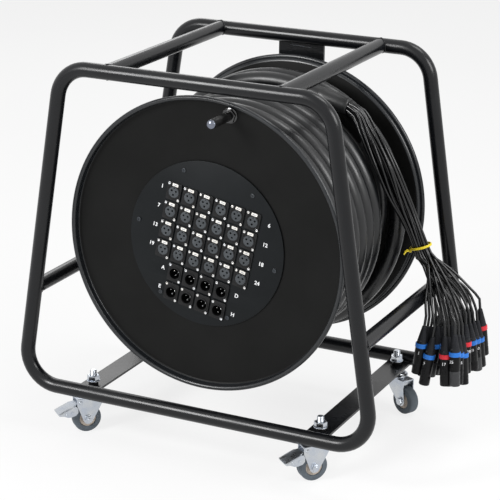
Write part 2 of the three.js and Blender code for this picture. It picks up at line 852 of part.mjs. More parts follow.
// Crank: a bolt through the front flange with a nut on each side of the sheet, and a sleeve that turns on it.
function addCrank() {
  const crank = new THREE.Group();
  crank.position.set(crankPlace[0], frontFaceY, crankPlace[1]);
  crank.rotation.set(Math.PI / 2, 0, 0);
  drum.add(crank);
  const bore = crankRodDiameter + 2 * gap;
  const gripStart = crankBaseHeight + 2 * gap;
  const gripEnd = gripStart + gripLength;
  const backFace = -sheetThickness - gap;
  const baseNut = hexRing(crankBaseDiameter * Math.sqrt(3) / 2, crankBaseHeight, bore).translate(0, 0, gap);
  addPart(crank, 'crank_base_nut', baseNut, black);
  const backNut = hexRing(crankBackNut, crankBackNutHeight, bore);
  addPart(crank, 'crank_back_nut', backNut.translate(0, 0, backFace - crankBackNutHeight), zinc);
  const rodRadius = crankRodDiameter / 2;
  const head = crankHeadDiameter / 2;
  addPart(crank, 'crank_bolt', turned([
    [0, backFace - crankBackNutHeight - 2 * gap],
    [rodRadius, backFace - crankBackNutHeight - 2 * gap],
    [rodRadius, gripEnd + gap],
    [head, gripEnd + gap],
    [head, gripEnd + gap + crankHeadHeight / 3],
    [head * Math.SQRT1_2, gripEnd + gap + crankHeadHeight * Math.SQRT1_2],
    [0, gripEnd + gap + crankHeadHeight],
  ], tubeSides), steel);
  addPart(crank, 'crank_grip', turned([
    [bore / 2, gripStart],
    [gripDiameter / 2, gripStart],
    [gripDiameter / 2, gripEnd],
    [bore / 2, gripEnd],
    [bore / 2, gripStart],
  ], gripSides), cableBlack);
}

addCrank();

// Winding. A point of the cable's centre line is given by its turned angle, its radius and its place along Y;
// the angle falls as the cable runs on, so the turns go clockwise seen from the front.
const cableRadius = cableDiameter / 2;
const stepAngle = 2 * Math.PI / turnSteps;

function onDrum(angle, radius, y) {
  return new THREE.Vector3(radius * Math.cos(angle), y, radius * Math.sin(angle));
}

// The end of a turn dives towards the drum on an arc and then runs straight for one cable diameter.
function dip(start, direction, straight) {
  const inward = new THREE.Vector3(-start.x, 0, -start.z).normalize();
  const along = direction.clone().addScaledVector(inward, -direction.dot(inward)).normalize();
  const points = [];
  for (let k = 1; k <= arcSteps; k += 1) {
    const bend = dipAngle * k / arcSteps;
    points.push(start.clone().addScaledVector(along, dipRadius * Math.sin(bend))
      .addScaledVector(inward, dipRadius * (1 - Math.cos(bend))));
  }
  const heading = along.clone().multiplyScalar(Math.cos(dipAngle)).addScaledVector(inward, Math.sin(dipAngle));
  points.push(points[arcSteps - 1].clone().addScaledVector(heading, straight));
  return points;
}

function windingPath() {
  const steps = Math.round(drumTurns * turnSteps);
  const points = [];
  for (let k = 0; k <= steps; k += 1) {
    points.push(onDrum(firstTurnAngle - k * stepAngle, layerRadius, firstTurnY + cablePitch * k / turnSteps));
  }
  const first = points[0];
  const last = points[steps];
  const backwards = new THREE.Vector3(first.x - points[1].x, 0, first.z - points[1].z);
  const forwards = new THREE.Vector3(last.x - points[steps - 1].x, 0, last.z - points[steps - 1].z);
  return [...dip(first, backwards, cableDiameter).reverse(), ...points, ...dip(last, forwards, cableDiameter)];
}

// The least gap between turns of a path, from points more than one turn's half apart along it.
function leastGap(points, diameter) {
  const skip = turnSteps / 2;
  let least = Infinity;
  const segment = new THREE.Line3();
  const nearest = new THREE.Vector3();
  for (let i = 0; i < points.length; i += 1) {
    for (let j = i + skip; j < points.length - 1; j += 1) {
      segment.set(points[j], points[j + 1]);
      segment.closestPointToPoint(points[i], true, nearest);
      least = Math.min(least, nearest.distanceTo(points[i]) - diameter);
    }
  }
  return least;
}

const woundPath = windingPath();
console.log('cable_winding least gap to itself:', leastGap(woundPath, cableDiameter).toFixed(2));

function passed(angle, from, to) {
  return THREE.MathUtils.clamp((from - angle) / (from - to), 0, 1);
}

// The free end's turns stand still beside the drum's own turns: up from the bare rear lane, once round on top,
// and across to the end lane, where the cable leaves on a tangent.
const leaving = new THREE.Vector3(Math.sin(freeEndAngle), 0, -Math.cos(freeEndAngle));

function freePath() {
  const points = [];
  const steps = Math.round((freeStartAngle - freeEndAngle) / stepAngle);
  for (let k = 0; k <= steps; k += 1) {
    const angle = freeStartAngle - k * stepAngle;
    const y = rearLaneY + (topLaneY - rearLaneY) * passed(angle, shiftStartAngle, shiftDoneAngle)
      + (endLaneY - topLaneY) * passed(angle, crossStartAngle, crossDoneAngle);
    const climbed = passed(angle, freeStartAngle, climbDoneAngle);
    points.push(onDrum(angle, layerRadius + (topTurnRadius - layerRadius) * climbed, y));
  }
  const first = points[0];
  const backwards = new THREE.Vector3(first.x - points[1].x, 0, first.z - points[1].z);
  points.push(points[steps].clone().addScaledVector(leaving, cableDiameter));
  return [...dip(first, backwards, cableDiameter / 2).reverse(), ...points];
}

const freeTurns = freePath();
console.log('outer_turns least gap to itself:', leastGap(freeTurns, cableDiameter).toFixed(2));

function addWinding() {
  const fit = turningGap * 2;
  const coreRadius = layerRadius - cableRadius - fit;
  const coreBore = barrelRadius + turningGap;
  const laneFront = frontBackY + gap;
  const laneRear = rearFaceY - gap;
  const topFront = topLaneY - cablePitch / 2;
  const topRear = topLaneY + cablePitch / 2;
  const core = turnedAlongY([
    [coreBore, laneFront],
    [coreRadius, laneFront],
    [coreRadius, topFront],
    [underTopRadius, topFront],
    [underTopRadius, topRear],
    [bareRadius, topRear],
    [bareRadius, laneRear],
    [coreBore, laneRear],
    [coreBore, laneFront],
  ], turnSteps);
  const pockets = [woundPath.slice(0, pocketPoints), woundPath.slice(-pocketPoints)]
    .map((points) => tube(points, cableRadius + fit, cableSides));
  addPart(drum, 'cable_core', cut(core, ...pockets), cableBlack);
  addPart(drum, 'cable_winding', tube(woundPath, cableRadius, cableSides), cableBlack);
}

addWinding();

// Free end of the cable, about the drum's axis but standing still: turns, sleeve, thin cables, tie, connectors.
const tail = new THREE.Group();
tail.position.set(0, 0, axisZ);
cord.add(tail);

// Places along the thin cables' bundle, chosen by hand.
const bundleRoute = [
  [175, 98, 166], [193, 98, 132], [207, 98, 100], [226, 98, 66],
  [247, 98, 30], [263, 98, 0], [274, 99, -24], [279, 100, -36],
];

function routeTube(points, radius, steps, sides) {
  const places = points.map((point) => new THREE.Vector3(...point));
  const curve = new THREE.CatmullRomCurve3(places, false, 'centripetal');
  const shape = new THREE.Shape();
  shape.absarc(0, 0, radius, 0, 2 * Math.PI, false);
  const settings = { steps, curveSegments: sides / 2, bevelEnabled: false, extrudePath: curve };
  return new THREE.ExtrudeGeometry(shape, settings);
}

function pointing(geometry, from, direction) {
  const turn = new THREE.Quaternion();
  turn.setFromUnitVectors(new THREE.Vector3(0, 0, 1), direction.clone().normalize());
  return geometry.applyQuaternion(turn).translate(...from.toArray());
}

// The connectors hang side by side in four bunches of eight, at staggered heights. The bunches lean apart.
const overSideTubeX = legX(baseTubeZ + sideTubeHeight) + tubeRadius + branchDiameter / 2 + 3 * gap;
const connectors = [];
for (let row = 0; row < connectorRows; row += 1) {
  for (let column = 0; column < connectorColumns; column += 1) {
    const [outer, back] = [row < 2 ? 0 : 1, column < 4 ? 0 : 1];
    const middle = new THREE.Vector3(
      connectorCorner[0] + (2 * outer + 1 / 2) * connectorPitch + outer * bunchGap,
      connectorCorner[1] + (4 * back + 3 / 2) * connectorPitch + back * bunchGap,
      connectorTop,
    );
    const lean = new THREE.Quaternion().setFromEuler(
      new THREE.Euler((2 * back - 1) * bunchLean, (1 - 2 * outer) * bunchLean, 0),
    );
    const tip = new THREE.Vector3(
      connectorCorner[0] + row * connectorPitch + outer * bunchGap,
      connectorCorner[1] + column * connectorPitch + back * bunchGap,
      connectorTop - connectorStagger * ((row * 3 + column * 5) % 4),
    );
    tip.sub(middle).applyQuaternion(lean).add(middle);
    connectors.push({ row, column, bunch: outer + 2 * back, lean, tip });
  }
}

// A cable connector hanging from its boot's tip at z = 0.
function connector() {
  const body = connectorDiameter / 2;
  return turned([
    [0, 0],
    [bootTip / 2, 0],
    [bootDiameter / 2, -bootLength],
    [body, -bootLength],
    [body, -connectorLength],
    [0, -connectorLength],
  ], connectorSides);
}

function addTail() {
  addPart(tail, 'outer_turns', tube(freeTurns, cableRadius, cableSides), cableBlack);
  const end = freeTurns[freeTurns.length - 1];
  const [wide, tip] = [sleeveDiameter / 2, sleeveTip / 2];
  const sleeve = turned([
    [0, gap],
    [cableRadius, gap],
    [wide, sleeveLength / 6],
    [wide, sleeveLength * 2 / 3],
    [tip, sleeveLength],
    [0, sleeveLength],
  ], tubeSides);
  addPart(tail, 'fan_out_sleeve', pointing(sleeve, end, leaving), cableBlack);

  const out = [gap, bundleDiameter / 2]
    .map((past) => end.clone().addScaledVector(leaving, sleeveLength + past).toArray());
  const bundle = routeTube([...out, ...bundleRoute], bundleDiameter / 2, bundleSteps, cordSides);
  addPart(tail, 'cable_bundle', bundle, cableBlack);
  const tieEnd = new THREE.Vector3(...bundleRoute[bundleRoute.length - 1]);
  const tieWay = tieEnd.clone().sub(new THREE.Vector3(...bundleRoute[bundleRoute.length - 2])).normalize();
  const ring = turned([
    [bundleDiameter / 2 + 2 * gap, 0],
    [tieDiameter / 2, 0],
    [tieDiameter / 2, tieWidth],
    [bundleDiameter / 2 + 2 * gap, tieWidth],
    [bundleDiameter / 2 + 2 * gap, 0],
  ], tubeSides);
  const tieStart = tieEnd.clone().addScaledVector(tieWay, -tieWidth - gap);
  addPart(tail, 'bundle_tie', pointing(ring, tieStart, tieWay), tieYellow);

  const start = tieEnd.clone().addScaledVector(tieWay, knotLength);
  const knot = rod(tieEnd.clone().addScaledVector(tieWay, gap), start, bundleDiameter / 2);
  const led = connectors.filter(({ row, column }) => row % 2 === 0 && column % 2 === 0);
  const branches = led.map(({ tip, lean }) => {
    const up = new THREE.Vector3(0, 0, 1).applyQuaternion(lean);
    const above = tip.clone().addScaledVector(up, branchDiameter * 3 / 2);
    const share = (tip.y - start.y) / 2;
    return routeTube([
      [start.x - tieWay.x, start.y + share / 5, start.z - tieWay.z],
      [start.x + branchLean, start.y + share / 2, start.z - branchDrop / 3],
      [overSideTubeX + (tip.x - overSideTubeX) / 4, start.y + share, start.z - branchDrop],
      [(overSideTubeX + above.x) / 2, start.y + share * 3 / 2, (start.z - branchDrop + above.z) / 2],
      above.toArray(),
      tip.clone().addScaledVector(up, gap).toArray(),
    ], branchDiameter / 2, branchSteps, branchSides);
  });
  addPart(tail, 'thin_cables', joined(knot, ...branches), cableBlack);

  for (let bunch = 0; bunch < 4; bunch += 1) {
    const members = connectors
      .filter((each) => each.bunch === bunch)
      .map(({ tip, lean }) => connector().applyQuaternion(lean).translate(...tip.toArray()));
    addPart(tail, `cable_connectors_${bunch + 1}`, joined(...members), black);
  }
}

addTail();

// The origin is the middle of the object's box without the loose cord, on the floor.
const extent = new THREE.Box3().setFromObject(object, true);
const middle = extent.getCenter(new THREE.Vector3());
drumCable.position.set(-middle.x, -middle.y, -extent.min.z);

export default drumCable;
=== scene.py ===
import math
import random

import bpy
from mathutils import Matrix, Vector


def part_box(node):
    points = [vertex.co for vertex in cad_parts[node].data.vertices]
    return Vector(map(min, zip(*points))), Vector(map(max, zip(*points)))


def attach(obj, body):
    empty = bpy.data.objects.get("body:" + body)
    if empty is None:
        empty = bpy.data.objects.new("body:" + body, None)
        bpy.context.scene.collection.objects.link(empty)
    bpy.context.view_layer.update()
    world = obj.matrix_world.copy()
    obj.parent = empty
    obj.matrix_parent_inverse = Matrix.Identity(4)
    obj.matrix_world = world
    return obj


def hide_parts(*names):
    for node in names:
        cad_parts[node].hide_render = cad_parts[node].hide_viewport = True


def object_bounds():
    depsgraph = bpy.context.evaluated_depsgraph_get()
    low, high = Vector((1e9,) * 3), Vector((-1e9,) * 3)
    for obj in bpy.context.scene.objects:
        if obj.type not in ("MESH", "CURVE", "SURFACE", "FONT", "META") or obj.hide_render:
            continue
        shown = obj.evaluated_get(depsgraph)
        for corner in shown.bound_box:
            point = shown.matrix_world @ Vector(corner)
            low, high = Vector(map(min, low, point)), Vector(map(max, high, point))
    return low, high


bl_info = {
    "name": "Multicore cable drum",
    "version": (1, 0, 0),
    "blender": (4, 5, 0),
    "location": "View3D > Sidebar > Cable drum",
    "description": "Dresses the packed model of a multicore cable drum with its pieces and finishes",
    "category": "Object",
}

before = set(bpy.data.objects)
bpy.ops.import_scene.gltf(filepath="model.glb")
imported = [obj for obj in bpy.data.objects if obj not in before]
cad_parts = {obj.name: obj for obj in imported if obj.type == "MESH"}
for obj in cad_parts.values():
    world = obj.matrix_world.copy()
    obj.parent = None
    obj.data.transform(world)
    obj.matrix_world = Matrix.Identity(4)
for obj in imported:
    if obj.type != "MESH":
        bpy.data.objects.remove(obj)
cad_low, cad_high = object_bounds()
mm = 0.001
SAME_PLACE = 1e-6

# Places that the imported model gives, in metres
hoop_low, hoop_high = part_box("front_hoop")
rear_low, rear_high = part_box("rear_hoop")
rim_low, rim_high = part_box("front_flange")
TUBE = hoop_high.y - hoop_low.y
BASE_Z = hoop_low.z + TUBE / 2
FRONT_Y = (hoop_low.y + hoop_high.y) / 2
REAR_Y = (rear_low.y + rear_high.y) / 2
MIDDLE_Y = (FRONT_Y + REAR_Y) / 2
AXIS_Z = (rim_low.z + rim_high.z) / 2
CENTRE = Vector((0, MIDDLE_Y, AXIS_Z))
FLANGE_RADIUS = (rim_high.z - rim_low.z) / 2

# The photograph's camera, fitted to the stand: pixels for the lens, degrees and metres for the rest
PICTURE_PIXELS = 500
FOCAL_PIXELS = 1904.7
SENSOR_WIDTH = 36.0
VIEW_AZIMUTH = math.radians(26.0)
VIEW_ELEVATION = math.radians(18.38)
VIEW_ROLL = math.radians(0.689)
VIEW_DISTANCE = 3.234
VIEW_ASIDE = 0.0053
VIEW_BELOW = 0.0509

# The studio: metres for places and sizes, watts for the lamps
FLOOR_SIZE = 30.0
FLOOR_GLOW = 0.8
AMBIENT_GREY = 0.80
AMBIENT_STRENGTH = 0.42
LAMPS = [
    ("key_lamp", (-1.25, -2.4, 1.85), (0.7, 1.2), 66),
    ("side_lamp", (2.6, -0.3, 1.9), (1.3, 1.3), 44),
    ("top_lamp", (0.9, 0.7, 3.0), (1.1, 1.1), 24),
    ("back_lamp", (-1.6, 2.4, 1.8), (1.0, 1.0), 8),
]

# The drum, in millimetres from the middle of its axis
FRONT_FACE_Y = -148.0
FRONT_BEAD_Y = -158.0
REAR_FACE_Y = 179.0
REAR_BEAD_Y = 187.0
SHEET = 2.0
RIM_FOLD = 3.5
PANEL_OPENING = 124.0
HUB_OPENING = 30.5
WEB_PLACE = 4.0
WEB_BORE = 31.0
BARREL_GAP = 0.5
TIE_BOLTS = 6
TIE_BOLT_CIRCLE = 122.0

# The panel and its sockets, in millimetres
PANEL_PLANE_Y = -148.3
PANEL_RADIUS = 140.2
PANEL_THICKNESS = 2.5
PANEL_SCREWS = 6
PANEL_SCREW_CIRCLE = 127.0
SOCKET_WIDTH, SOCKET_HEIGHT = 26.0, 31.0
SOCKET_RISE = 5.0
SOCKET_DROP = -1.0
FEMALE_ROWS, FEMALE_COLUMNS = 4, 6
MALE_ROWS, MALE_COLUMNS = 2, 4
FEMALE_OPENING = 9.6
MALE_OPENING = 9.4
INSERT_RADIUS = 9.3
CONTACT_CIRCLE = 4.5
CONTACT_ANGLES = (150, 30, 270)
PUSH_TAB_PLACE = (1.2, 12.1)

# The figures at the rows' ends: places from the nearest socket's middle, in millimetres
FIGURE_LEFT = (-23.2, 1.6)
FIGURE_RIGHT = (28.6, 1.6)
LETTER_LEFT = (-23.6, 1.2)
LETTER_RIGHT = (27.4, 1.2)
FIGURE_PLANE = 2.58

# The crank, in millimetres
CRANK_BORE = 4.3
GRIP_RADIUS = 7.75
GROOVE_RADIUS = 7.35
GROOVE_STEP = 2.2

# The castors, in millimetres and degrees
AXLE_HEIGHT = 24.52
LUG_RADIUS = 9.0
CHEEK_FACE = 12.6
CHEEK_THICKNESS = 2.0
PEDAL_PIVOT = (27.0, 56.0)
PEDAL_LENGTH = 44.0
PEDAL_DROP = 17.0
STUD_HEX = 10.97
CASTOR_HEADINGS = {"front_left": -131, "front_right": -131, "rear_left": 205, "rear_right": -27}

# The wound cable, in millimetres and degrees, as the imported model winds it
CABLE = 30.0
PITCH = 31.0
LAYER_RADIUS = 207.0
FIRST_TURN_Y = -129.0
FIRST_ANGLE = 15.0
DRUM_TURNS = 6.375
INNER_TURNS = 9
INNER_ANGLE = 40.0
INNER_STEP = 6.0
INNER_PITCH = 1.04 * PITCH
INNER_SLACK = 0.5
DIP_RADIUS = 60.0
DIP_ANGLE = 45.0
DIP_STEPS = 8
FINE_STEP = 5.0
FREE_START, FREE_END = 600.0, 75.0
FREE_START_Y = 161.0
LANE_CHANGES = [(540.0, 480.0), (300.0, 120.0)]
TOP_TURN_LIFT = 15.0
LIFT_STRETCH = (600.0, 525.0)
LEAVING = Vector((math.sin(math.radians(75)), 0, -math.cos(math.radians(75))))
SLEEVE_LENGTH = 55.0

# The thin cables and their connectors, in millimetres from the middle of the drum's axis, and degrees
BUNDLE_ROUTE = [(178, 86, 164), (202, 77, 132), (220, 77, 100), (234, 84, 66),
                (247, 98, 30), (263, 98, 0), (274, 99, -24), (279, 100, -36)]
BUNDLE_START = 14.0
BUNDLE_STEP = 11.0
STRANDS = 32
STRAND_STEP = 13.0
OVER_SIDE_TUBE = (314.0, 0.0, -104.0)
TIE_RADIUS = 18.4
TIE_CORD = 1.4
TIE_TURNS = 2
TIE_STEPS = 96
TIE_END = 1.3
TIE_KNOT = 2.9
BOOT_RIBS = 7
BOOT_RIB_STEP = 3.6
BOOT_TIP_RADIUS = 3.9
BOOT_RIB_GROWTH = 0.62
CONNECTOR_PITCH = 17.4
CONNECTOR_CORNER = (320.0, 22.0)
CONNECTOR_TOP = -146.0
CONNECTOR_STAGGER = 5.0
CONNECTOR_TILT = 1.3
CONNECTOR_TURN = (-35, 60)
BUNCH_GAP = 1.5
BUNCH_LEAN = 5.0
LONG_ENDS = {2, 7, 9, 13, 20, 24, 29}
RED_RINGS = {3, 6, 11, 14, 16, 22, 27, 31}

# Welds, in metres, and the place of their lumps in parts of a tube's radius
CROSS_BEAD = 0.0009
CROSS_BEAD_PROUD = 0.0004
CROSS_BEAD_RIPPLE = 0.0001
WELD_LUMP = 0.0032
WELD_LUMP_PLACE = (0.86, 0.80, -0.30)
RAIL_BEAD = 0.0017
RAIL_BEAD_OUT = 0.0008
RAIL_BEAD_UP = 0.0006
SPINE_BEAD = 0.0019
SPINE_BEAD_UP = 0.0004
SEAM_BEAD = 0.0006
SEAM_DROP = 0.0052


class Wire:
    """A shader socket that takes part in sums."""

    def __init__(self, nodes, socket):
        self.nodes = nodes
        self.socket = socket

    def _sum(self, operation, first, second):
        return self.nodes.node("ShaderNodeMath", {"operation": operation}, {0: first, 1: second})

    def __add__(self, other):
        return self._sum("ADD", self, other)

    def __radd__(self, other):
        return self._sum("ADD", other, self)

    def __mul__(self, other):
        return self._sum("MULTIPLY", self, other)

    def __rmul__(self, other):
        return self._sum("MULTIPLY", other, self)

    def or_more(self, other):
        return self._sum("MAXIMUM", self, other)


class Nodes:
    """A node tree that takes its nodes one by one."""

    def __init__(self, tree):
        self.tree = tree

    def node(self, kind, settings=None, values=None, out=0):
        """Adds a node: its settings first, and then what its sockets hold or what leads to them."""
        made = self.tree.nodes.new(kind)
        for key, value in (settings or {}).items():
            setattr(made, key, value)
        for key, value in (values or {}).items():
            if isinstance(value, Wire):
                self.tree.links.new(value.socket, made.inputs[key])
            else:
                made.inputs[key].default_value = value
        return Wire(self, made.outputs[out])

    def show(self, output, wire):
        """Leads a shader to the tree's output node."""
        self.tree.links.new(wire.socket, self.tree.nodes[output].inputs["Surface"])

    def bare_rays(self):
        """1 for rays that show the background: straight to the camera, mirrored or through glass."""
        camera, glossy, through = (self.node("ShaderNodeLightPath", out=kind) for kind in (
            "Is Camera Ray", "Is Glossy Ray", "Is Transmission Ray"))
        return camera.or_more(glossy).or_more(through)


class Finish(Nodes):
    """A material whose surface is one Principled shader."""

    def __init__(self, name, rough, metallic=0.0, specular=0.5):
        self.material = bpy.data.materials.new(name)
        self.material.use_nodes = True
        super().__init__(self.material.node_tree)
        self.shader = self.tree.nodes["Principled BSDF"]
        plain = {"Roughness": rough, "Metallic": metallic, "Specular IOR Level": specular}
        for socket, value in plain.items():
            self.shader.inputs[socket].default_value = value

    def feed(self, socket, wire):
        self.tree.links.new(wire.socket, self.shader.inputs[socket])

    def noise(self, scale, detail=3.0, rough=0.55):
        place = self.node("ShaderNodeTexCoord", out="Object")
        return self.node("ShaderNodeTexNoise", {}, {
            "Vector": place, "Scale": scale, "Detail": detail, "Roughness": rough})

    def ramp(self, factor, low, high, from_low=0.35, from_high=0.65):
        return self.node("ShaderNodeMapRange", {}, {
            "Value": factor, "From Min": from_low, "From Max": from_high, "To Min": low, "To Max": high})

    def blend(self, factor, first, second):
        """Mixes two colours, which a Mix node keeps in its sockets 6 and 7 and gives out at 2."""
        return self.node("ShaderNodeMix", {"data_type": "RGBA"}, {0: factor, 6: first, 7: second}, out=2)

    def bump(self, height, strength, depth=0.0003):
        self.feed("Normal", self.node("ShaderNodeBump", {}, {
            "Height": height, "Strength": strength, "Distance": depth}))


def grey(value):
    return (value, value, value, 1.0)


def paler(colour, gain, lift):
    return tuple(min(1.0, part * gain + lift) for part in colour) + (1.0,)


# Recipes for the finishes
def powder_coat(name, colour, rough, grain, specular):
    """Black powder coat: a fine orange-peel grain, faint dust on top and small changes of gloss."""
    finish = Finish(name, rough, specular=specular)
    patches = finish.noise(9.0, detail=5.0)
    specks = finish.noise(420.0, detail=2.0)
    dust = finish.ramp(patches, 0.0, 0.45) + finish.ramp(specks, 0.0, 0.2, 0.62, 0.75)
    finish.feed("Base Color", finish.blend(dust, (*colour, 1.0), paler(colour, 1.5, 0.002)))
    finish.feed("Roughness", finish.ramp(patches, rough - 0.03, rough + 0.05))
    finish.bump(finish.noise(grain), 0.12)
    return finish.material


def plated_steel(name, colour, rough):
    """Metal plate: a faint cloudy colour, fine scratches and a gloss that changes with the clouds."""
    finish = Finish(name, rough, metallic=1.0)
    clouds = finish.noise(60.0, detail=4.0)
    bluer = (colour[0] * 0.86, colour[1] * 0.9, colour[2] * 0.98, 1.0)
    finish.feed("Base Color", finish.blend(finish.ramp(clouds, 0.0, 1.0), (*colour, 1.0), bluer))
    finish.feed("Roughness", finish.ramp(clouds, rough - 0.06, rough + 0.12))
    finish.bump(finish.noise(900.0, detail=2.0), 0.12, depth=0.0002)
    return finish.material


def moulded(name, colour, rough, grain, strength, specular):
    """Moulded plastic or rubber: a fine mould grain and slight wear in its gloss."""
    finish = Finish(name, rough, specular=specular)
    wear = finish.noise(35.0, detail=4.0)
    worn = finish.ramp(wear, 0.0, 0.6)
    finish.feed("Base Color", finish.blend(worn, (*colour, 1.0), paler(colour, 1.35, 0.003)))
    finish.feed("Roughness", finish.ramp(wear, rough - 0.06, rough + 0.06))
    finish.bump(finish.noise(grain, detail=2.0), strength)
    return finish.material


def cable_sheath(name, colour, rough):
    """Rubber cable sheath: dark and even, with a fine grain and paler, glossier scuffs."""
    finish = Finish(name, rough)
    scuffs = finish.noise(22.0, detail=6.0, rough=0.65)
    scuffed = finish.ramp(scuffs, 0.0, 0.5, 0.5, 0.75)
    finish.feed("Base Color", finish.blend(scuffed, (*colour, 1.0), paler(colour, 1.6, 0.003)))
    finish.feed("Roughness", finish.ramp(scuffs, rough + 0.05, rough - 0.08))
    finish.bump(finish.noise(520.0), 0.15)
    return finish.material


# The finishes of each recipe, by name
POWDER_COATS = {
    "satin_black_tube": dict(colour=(0.0030, 0.0034, 0.0044), rough=0.25, grain=300.0, specular=0.34),
    "fine_black_sheet": dict(colour=(0.0050, 0.0051, 0.0049), rough=0.40, grain=900.0, specular=0.12),
    "satin_black_panel": dict(colour=(0.0055, 0.0068, 0.0078), rough=0.38, grain=1100.0, specular=0.15),
    # The flange sheet's black made paler and bluer for the rolled bead: painted reflection; its higher gloss
    # is real
    "rolled_bead": dict(colour=(0.0095, 0.0110, 0.0130), rough=0.27, grain=300.0, specular=0.50),
    "polished_black": dict(colour=(0.010, 0.010, 0.011), rough=0.12, grain=300.0, specular=0.9),
}
PLATINGS = {
    "bright_zinc": dict(colour=(0.56, 0.58, 0.60), rough=0.26),
    "dull_zinc": dict(colour=(0.40, 0.41, 0.43), rough=0.4),
    "dark_screw": dict(colour=(0.075, 0.08, 0.085), rough=0.3),
    "bright_screw": dict(colour=(0.90, 0.88, 0.84), rough=0.35),
    "pin_plate": dict(colour=(0.85, 0.84, 0.80), rough=0.25),
    "turned_steel": dict(colour=(0.42, 0.43, 0.45), rough=0.33),
    "polished_cap": dict(colour=(0.22, 0.23, 0.26), rough=0.12),
}
MOULDINGS = {
    "tyre_rubber": dict(colour=(0.115, 0.135, 0.155), rough=0.60, grain=420.0, strength=0.3, specular=0.2),
    "cream_wheel": dict(colour=(0.55, 0.48, 0.41), rough=0.48, grain=300.0, strength=0.15, specular=0.25),
    "black_grip": dict(colour=(0.007, 0.007, 0.007), rough=0.35, grain=600.0, strength=0.2, specular=0.2),
    "yellow_tie": dict(colour=(0.78, 0.60, 0.03), rough=0.45, grain=500.0, strength=0.1, specular=0.3),
    "connector_shell": dict(colour=(0.0045, 0.0045, 0.005), rough=0.30, grain=500.0, strength=0.1,
                            specular=0.15),
    "grey_boot": dict(colour=(0.019, 0.020, 0.023), rough=0.55, grain=400.0, strength=0.2, specular=0.12),
    "grey_shell": dict(colour=(0.040, 0.041, 0.043), rough=0.42, grain=400.0, strength=0.1, specular=0.25),
    "socket_black": dict(colour=(0.006, 0.006, 0.0065), rough=0.30, grain=900.0, strength=0.1,
                         specular=0.25),
    "socket_insert": dict(colour=(0.052, 0.058, 0.064), rough=0.5, grain=800.0, strength=0.1, specular=0.25),
    # Near-black with almost no gloss: painted shade in the sockets' holes and wells
    "deep_black": dict(colour=(0.003, 0.003, 0.003), rough=0.6, grain=500.0, strength=0.1, specular=0.05),
    "white_print": dict(colour=(0.80, 0.81, 0.83), rough=0.5, grain=900.0, strength=0.05, specular=0.25),
    "pale_tab": dict(colour=(0.80, 0.77, 0.71), rough=0.4, grain=600.0, strength=0.05, specular=0.3),
    "dark_spacer": dict(colour=(0.008, 0.008, 0.009), rough=0.35, grain=500.0, strength=0.1, specular=0.25),
}
SHEATHS = {
    "cable_rubber": dict(colour=(0.0045, 0.0050, 0.0058), rough=0.34),
    "thin_sheath": dict(colour=(0.0045, 0.0048, 0.0054), rough=0.22),
    "shrink_sleeve": dict(colour=(0.0085, 0.0088, 0.0092), rough=0.40),
}
RECIPES = [(powder_coat, POWDER_COATS), (plated_steel, PLATINGS), (moulded, MOULDINGS),
           (cable_sheath, SHEATHS)]


def finish_of(name):
    """The finish of that name, made when it is first asked for."""
    made = bpy.data.materials.get(name)
    for recipe, finishes in RECIPES:
        if made is None and name in finishes:
            made = recipe(name, **finishes[name])
    if made is None:
        raise KeyError("no finish is called " + name)
    return made


def wear(node, finish):
    """A CAD node that is shown as it is takes a finish."""
    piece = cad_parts[node]
    piece.data.materials.clear()
    piece.data.materials.append(finish_of(finish))


# Modelling helpers
def select_none():
    if bpy.context.mode != "OBJECT":
        bpy.ops.object.mode_set(mode="OBJECT")
    bpy.ops.object.select_all(action="DESELECT")


def select_only(*objects):
    select_none()
    for piece in objects:
        piece.select_set(True)
    bpy.context.view_layer.objects.active = objects[0]


def settle(piece, name, finish, smooth=40):
    """Puts the place into the mesh, makes the normals even, names the piece and gives it its finish."""
    select_only(piece)
    bpy.ops.object.transform_apply(location=True, rotation=True, scale=True)
    bpy.ops.object.mode_set(mode="EDIT")
    bpy.ops.mesh.select_all(action="SELECT")
    bpy.ops.mesh.remove_doubles(threshold=SAME_PLACE)
    bpy.ops.mesh.normals_make_consistent(inside=False)
    bpy.ops.object.mode_set(mode="OBJECT")
    if smooth:
        bpy.ops.object.shade_smooth_by_angle(angle=math.radians(smooth))
    piece.name = name
    piece.data.name = name
    piece.data.materials.clear()
    piece.data.materials.append(finish_of(finish))
    return piece


def paint_where(piece, finish, test):
    """Gives a further finish to the faces whose middle passes a test."""
    piece.data.materials.append(finish_of(finish))
    number = len(piece.data.materials) - 1
    for face in piece.data.polygons:
        if test(face.center):
            face.material_index = number


def hung(piece, body, slot, *nodes):
    """The piece rides on its body and stands for its CAD nodes, which it hides; the slot is not used."""
    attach(piece, body)
    if nodes:
        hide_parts(*nodes)
    return piece


def placed(piece, place):
    """Moves and turns a piece by a matrix, and puts that into its mesh."""
    piece.matrix_world = place @ piece.matrix_world
    bpy.context.view_layer.update()
    select_only(piece)
    bpy.ops.object.transform_apply(location=True, rotation=True, scale=True)
    return piece


def move(piece, x=0.0, y=0.0, z=0.0, turn=0.0):
    """Turns a piece about +Z at the origin, in radians, and then moves it, in millimetres."""
    return placed(piece, Matrix.Translation(Vector((x, y, z)) * mm) @ Matrix.Rotation(turn, 4, "Z"))


def joined(pieces):
    select_only(*pieces)
    if len(pieces) > 1:
        bpy.ops.object.join()
    return bpy.context.object


def duplicate(piece):
    select_only(piece)
    bpy.ops.object.duplicate()
    return bpy.context.object


def chain(points):
    """A chain of edges through the points, drawn by extruding one vertex; it stays in edit mode."""
    select_none()
    bpy.ops.mesh.primitive_plane_add(size=mm, location=points[0])
    piece = bpy.context.object
    bpy.ops.object.mode_set(mode="EDIT")
    bpy.ops.mesh.select_all(action="SELECT")
    bpy.ops.mesh.merge(type="CENTER")
    for here, there in zip(points, points[1:]):
        step = Vector(there) - Vector(here)
        bpy.ops.mesh.extrude_region_move(TRANSFORM_OT_translate={"value": step})
    return piece


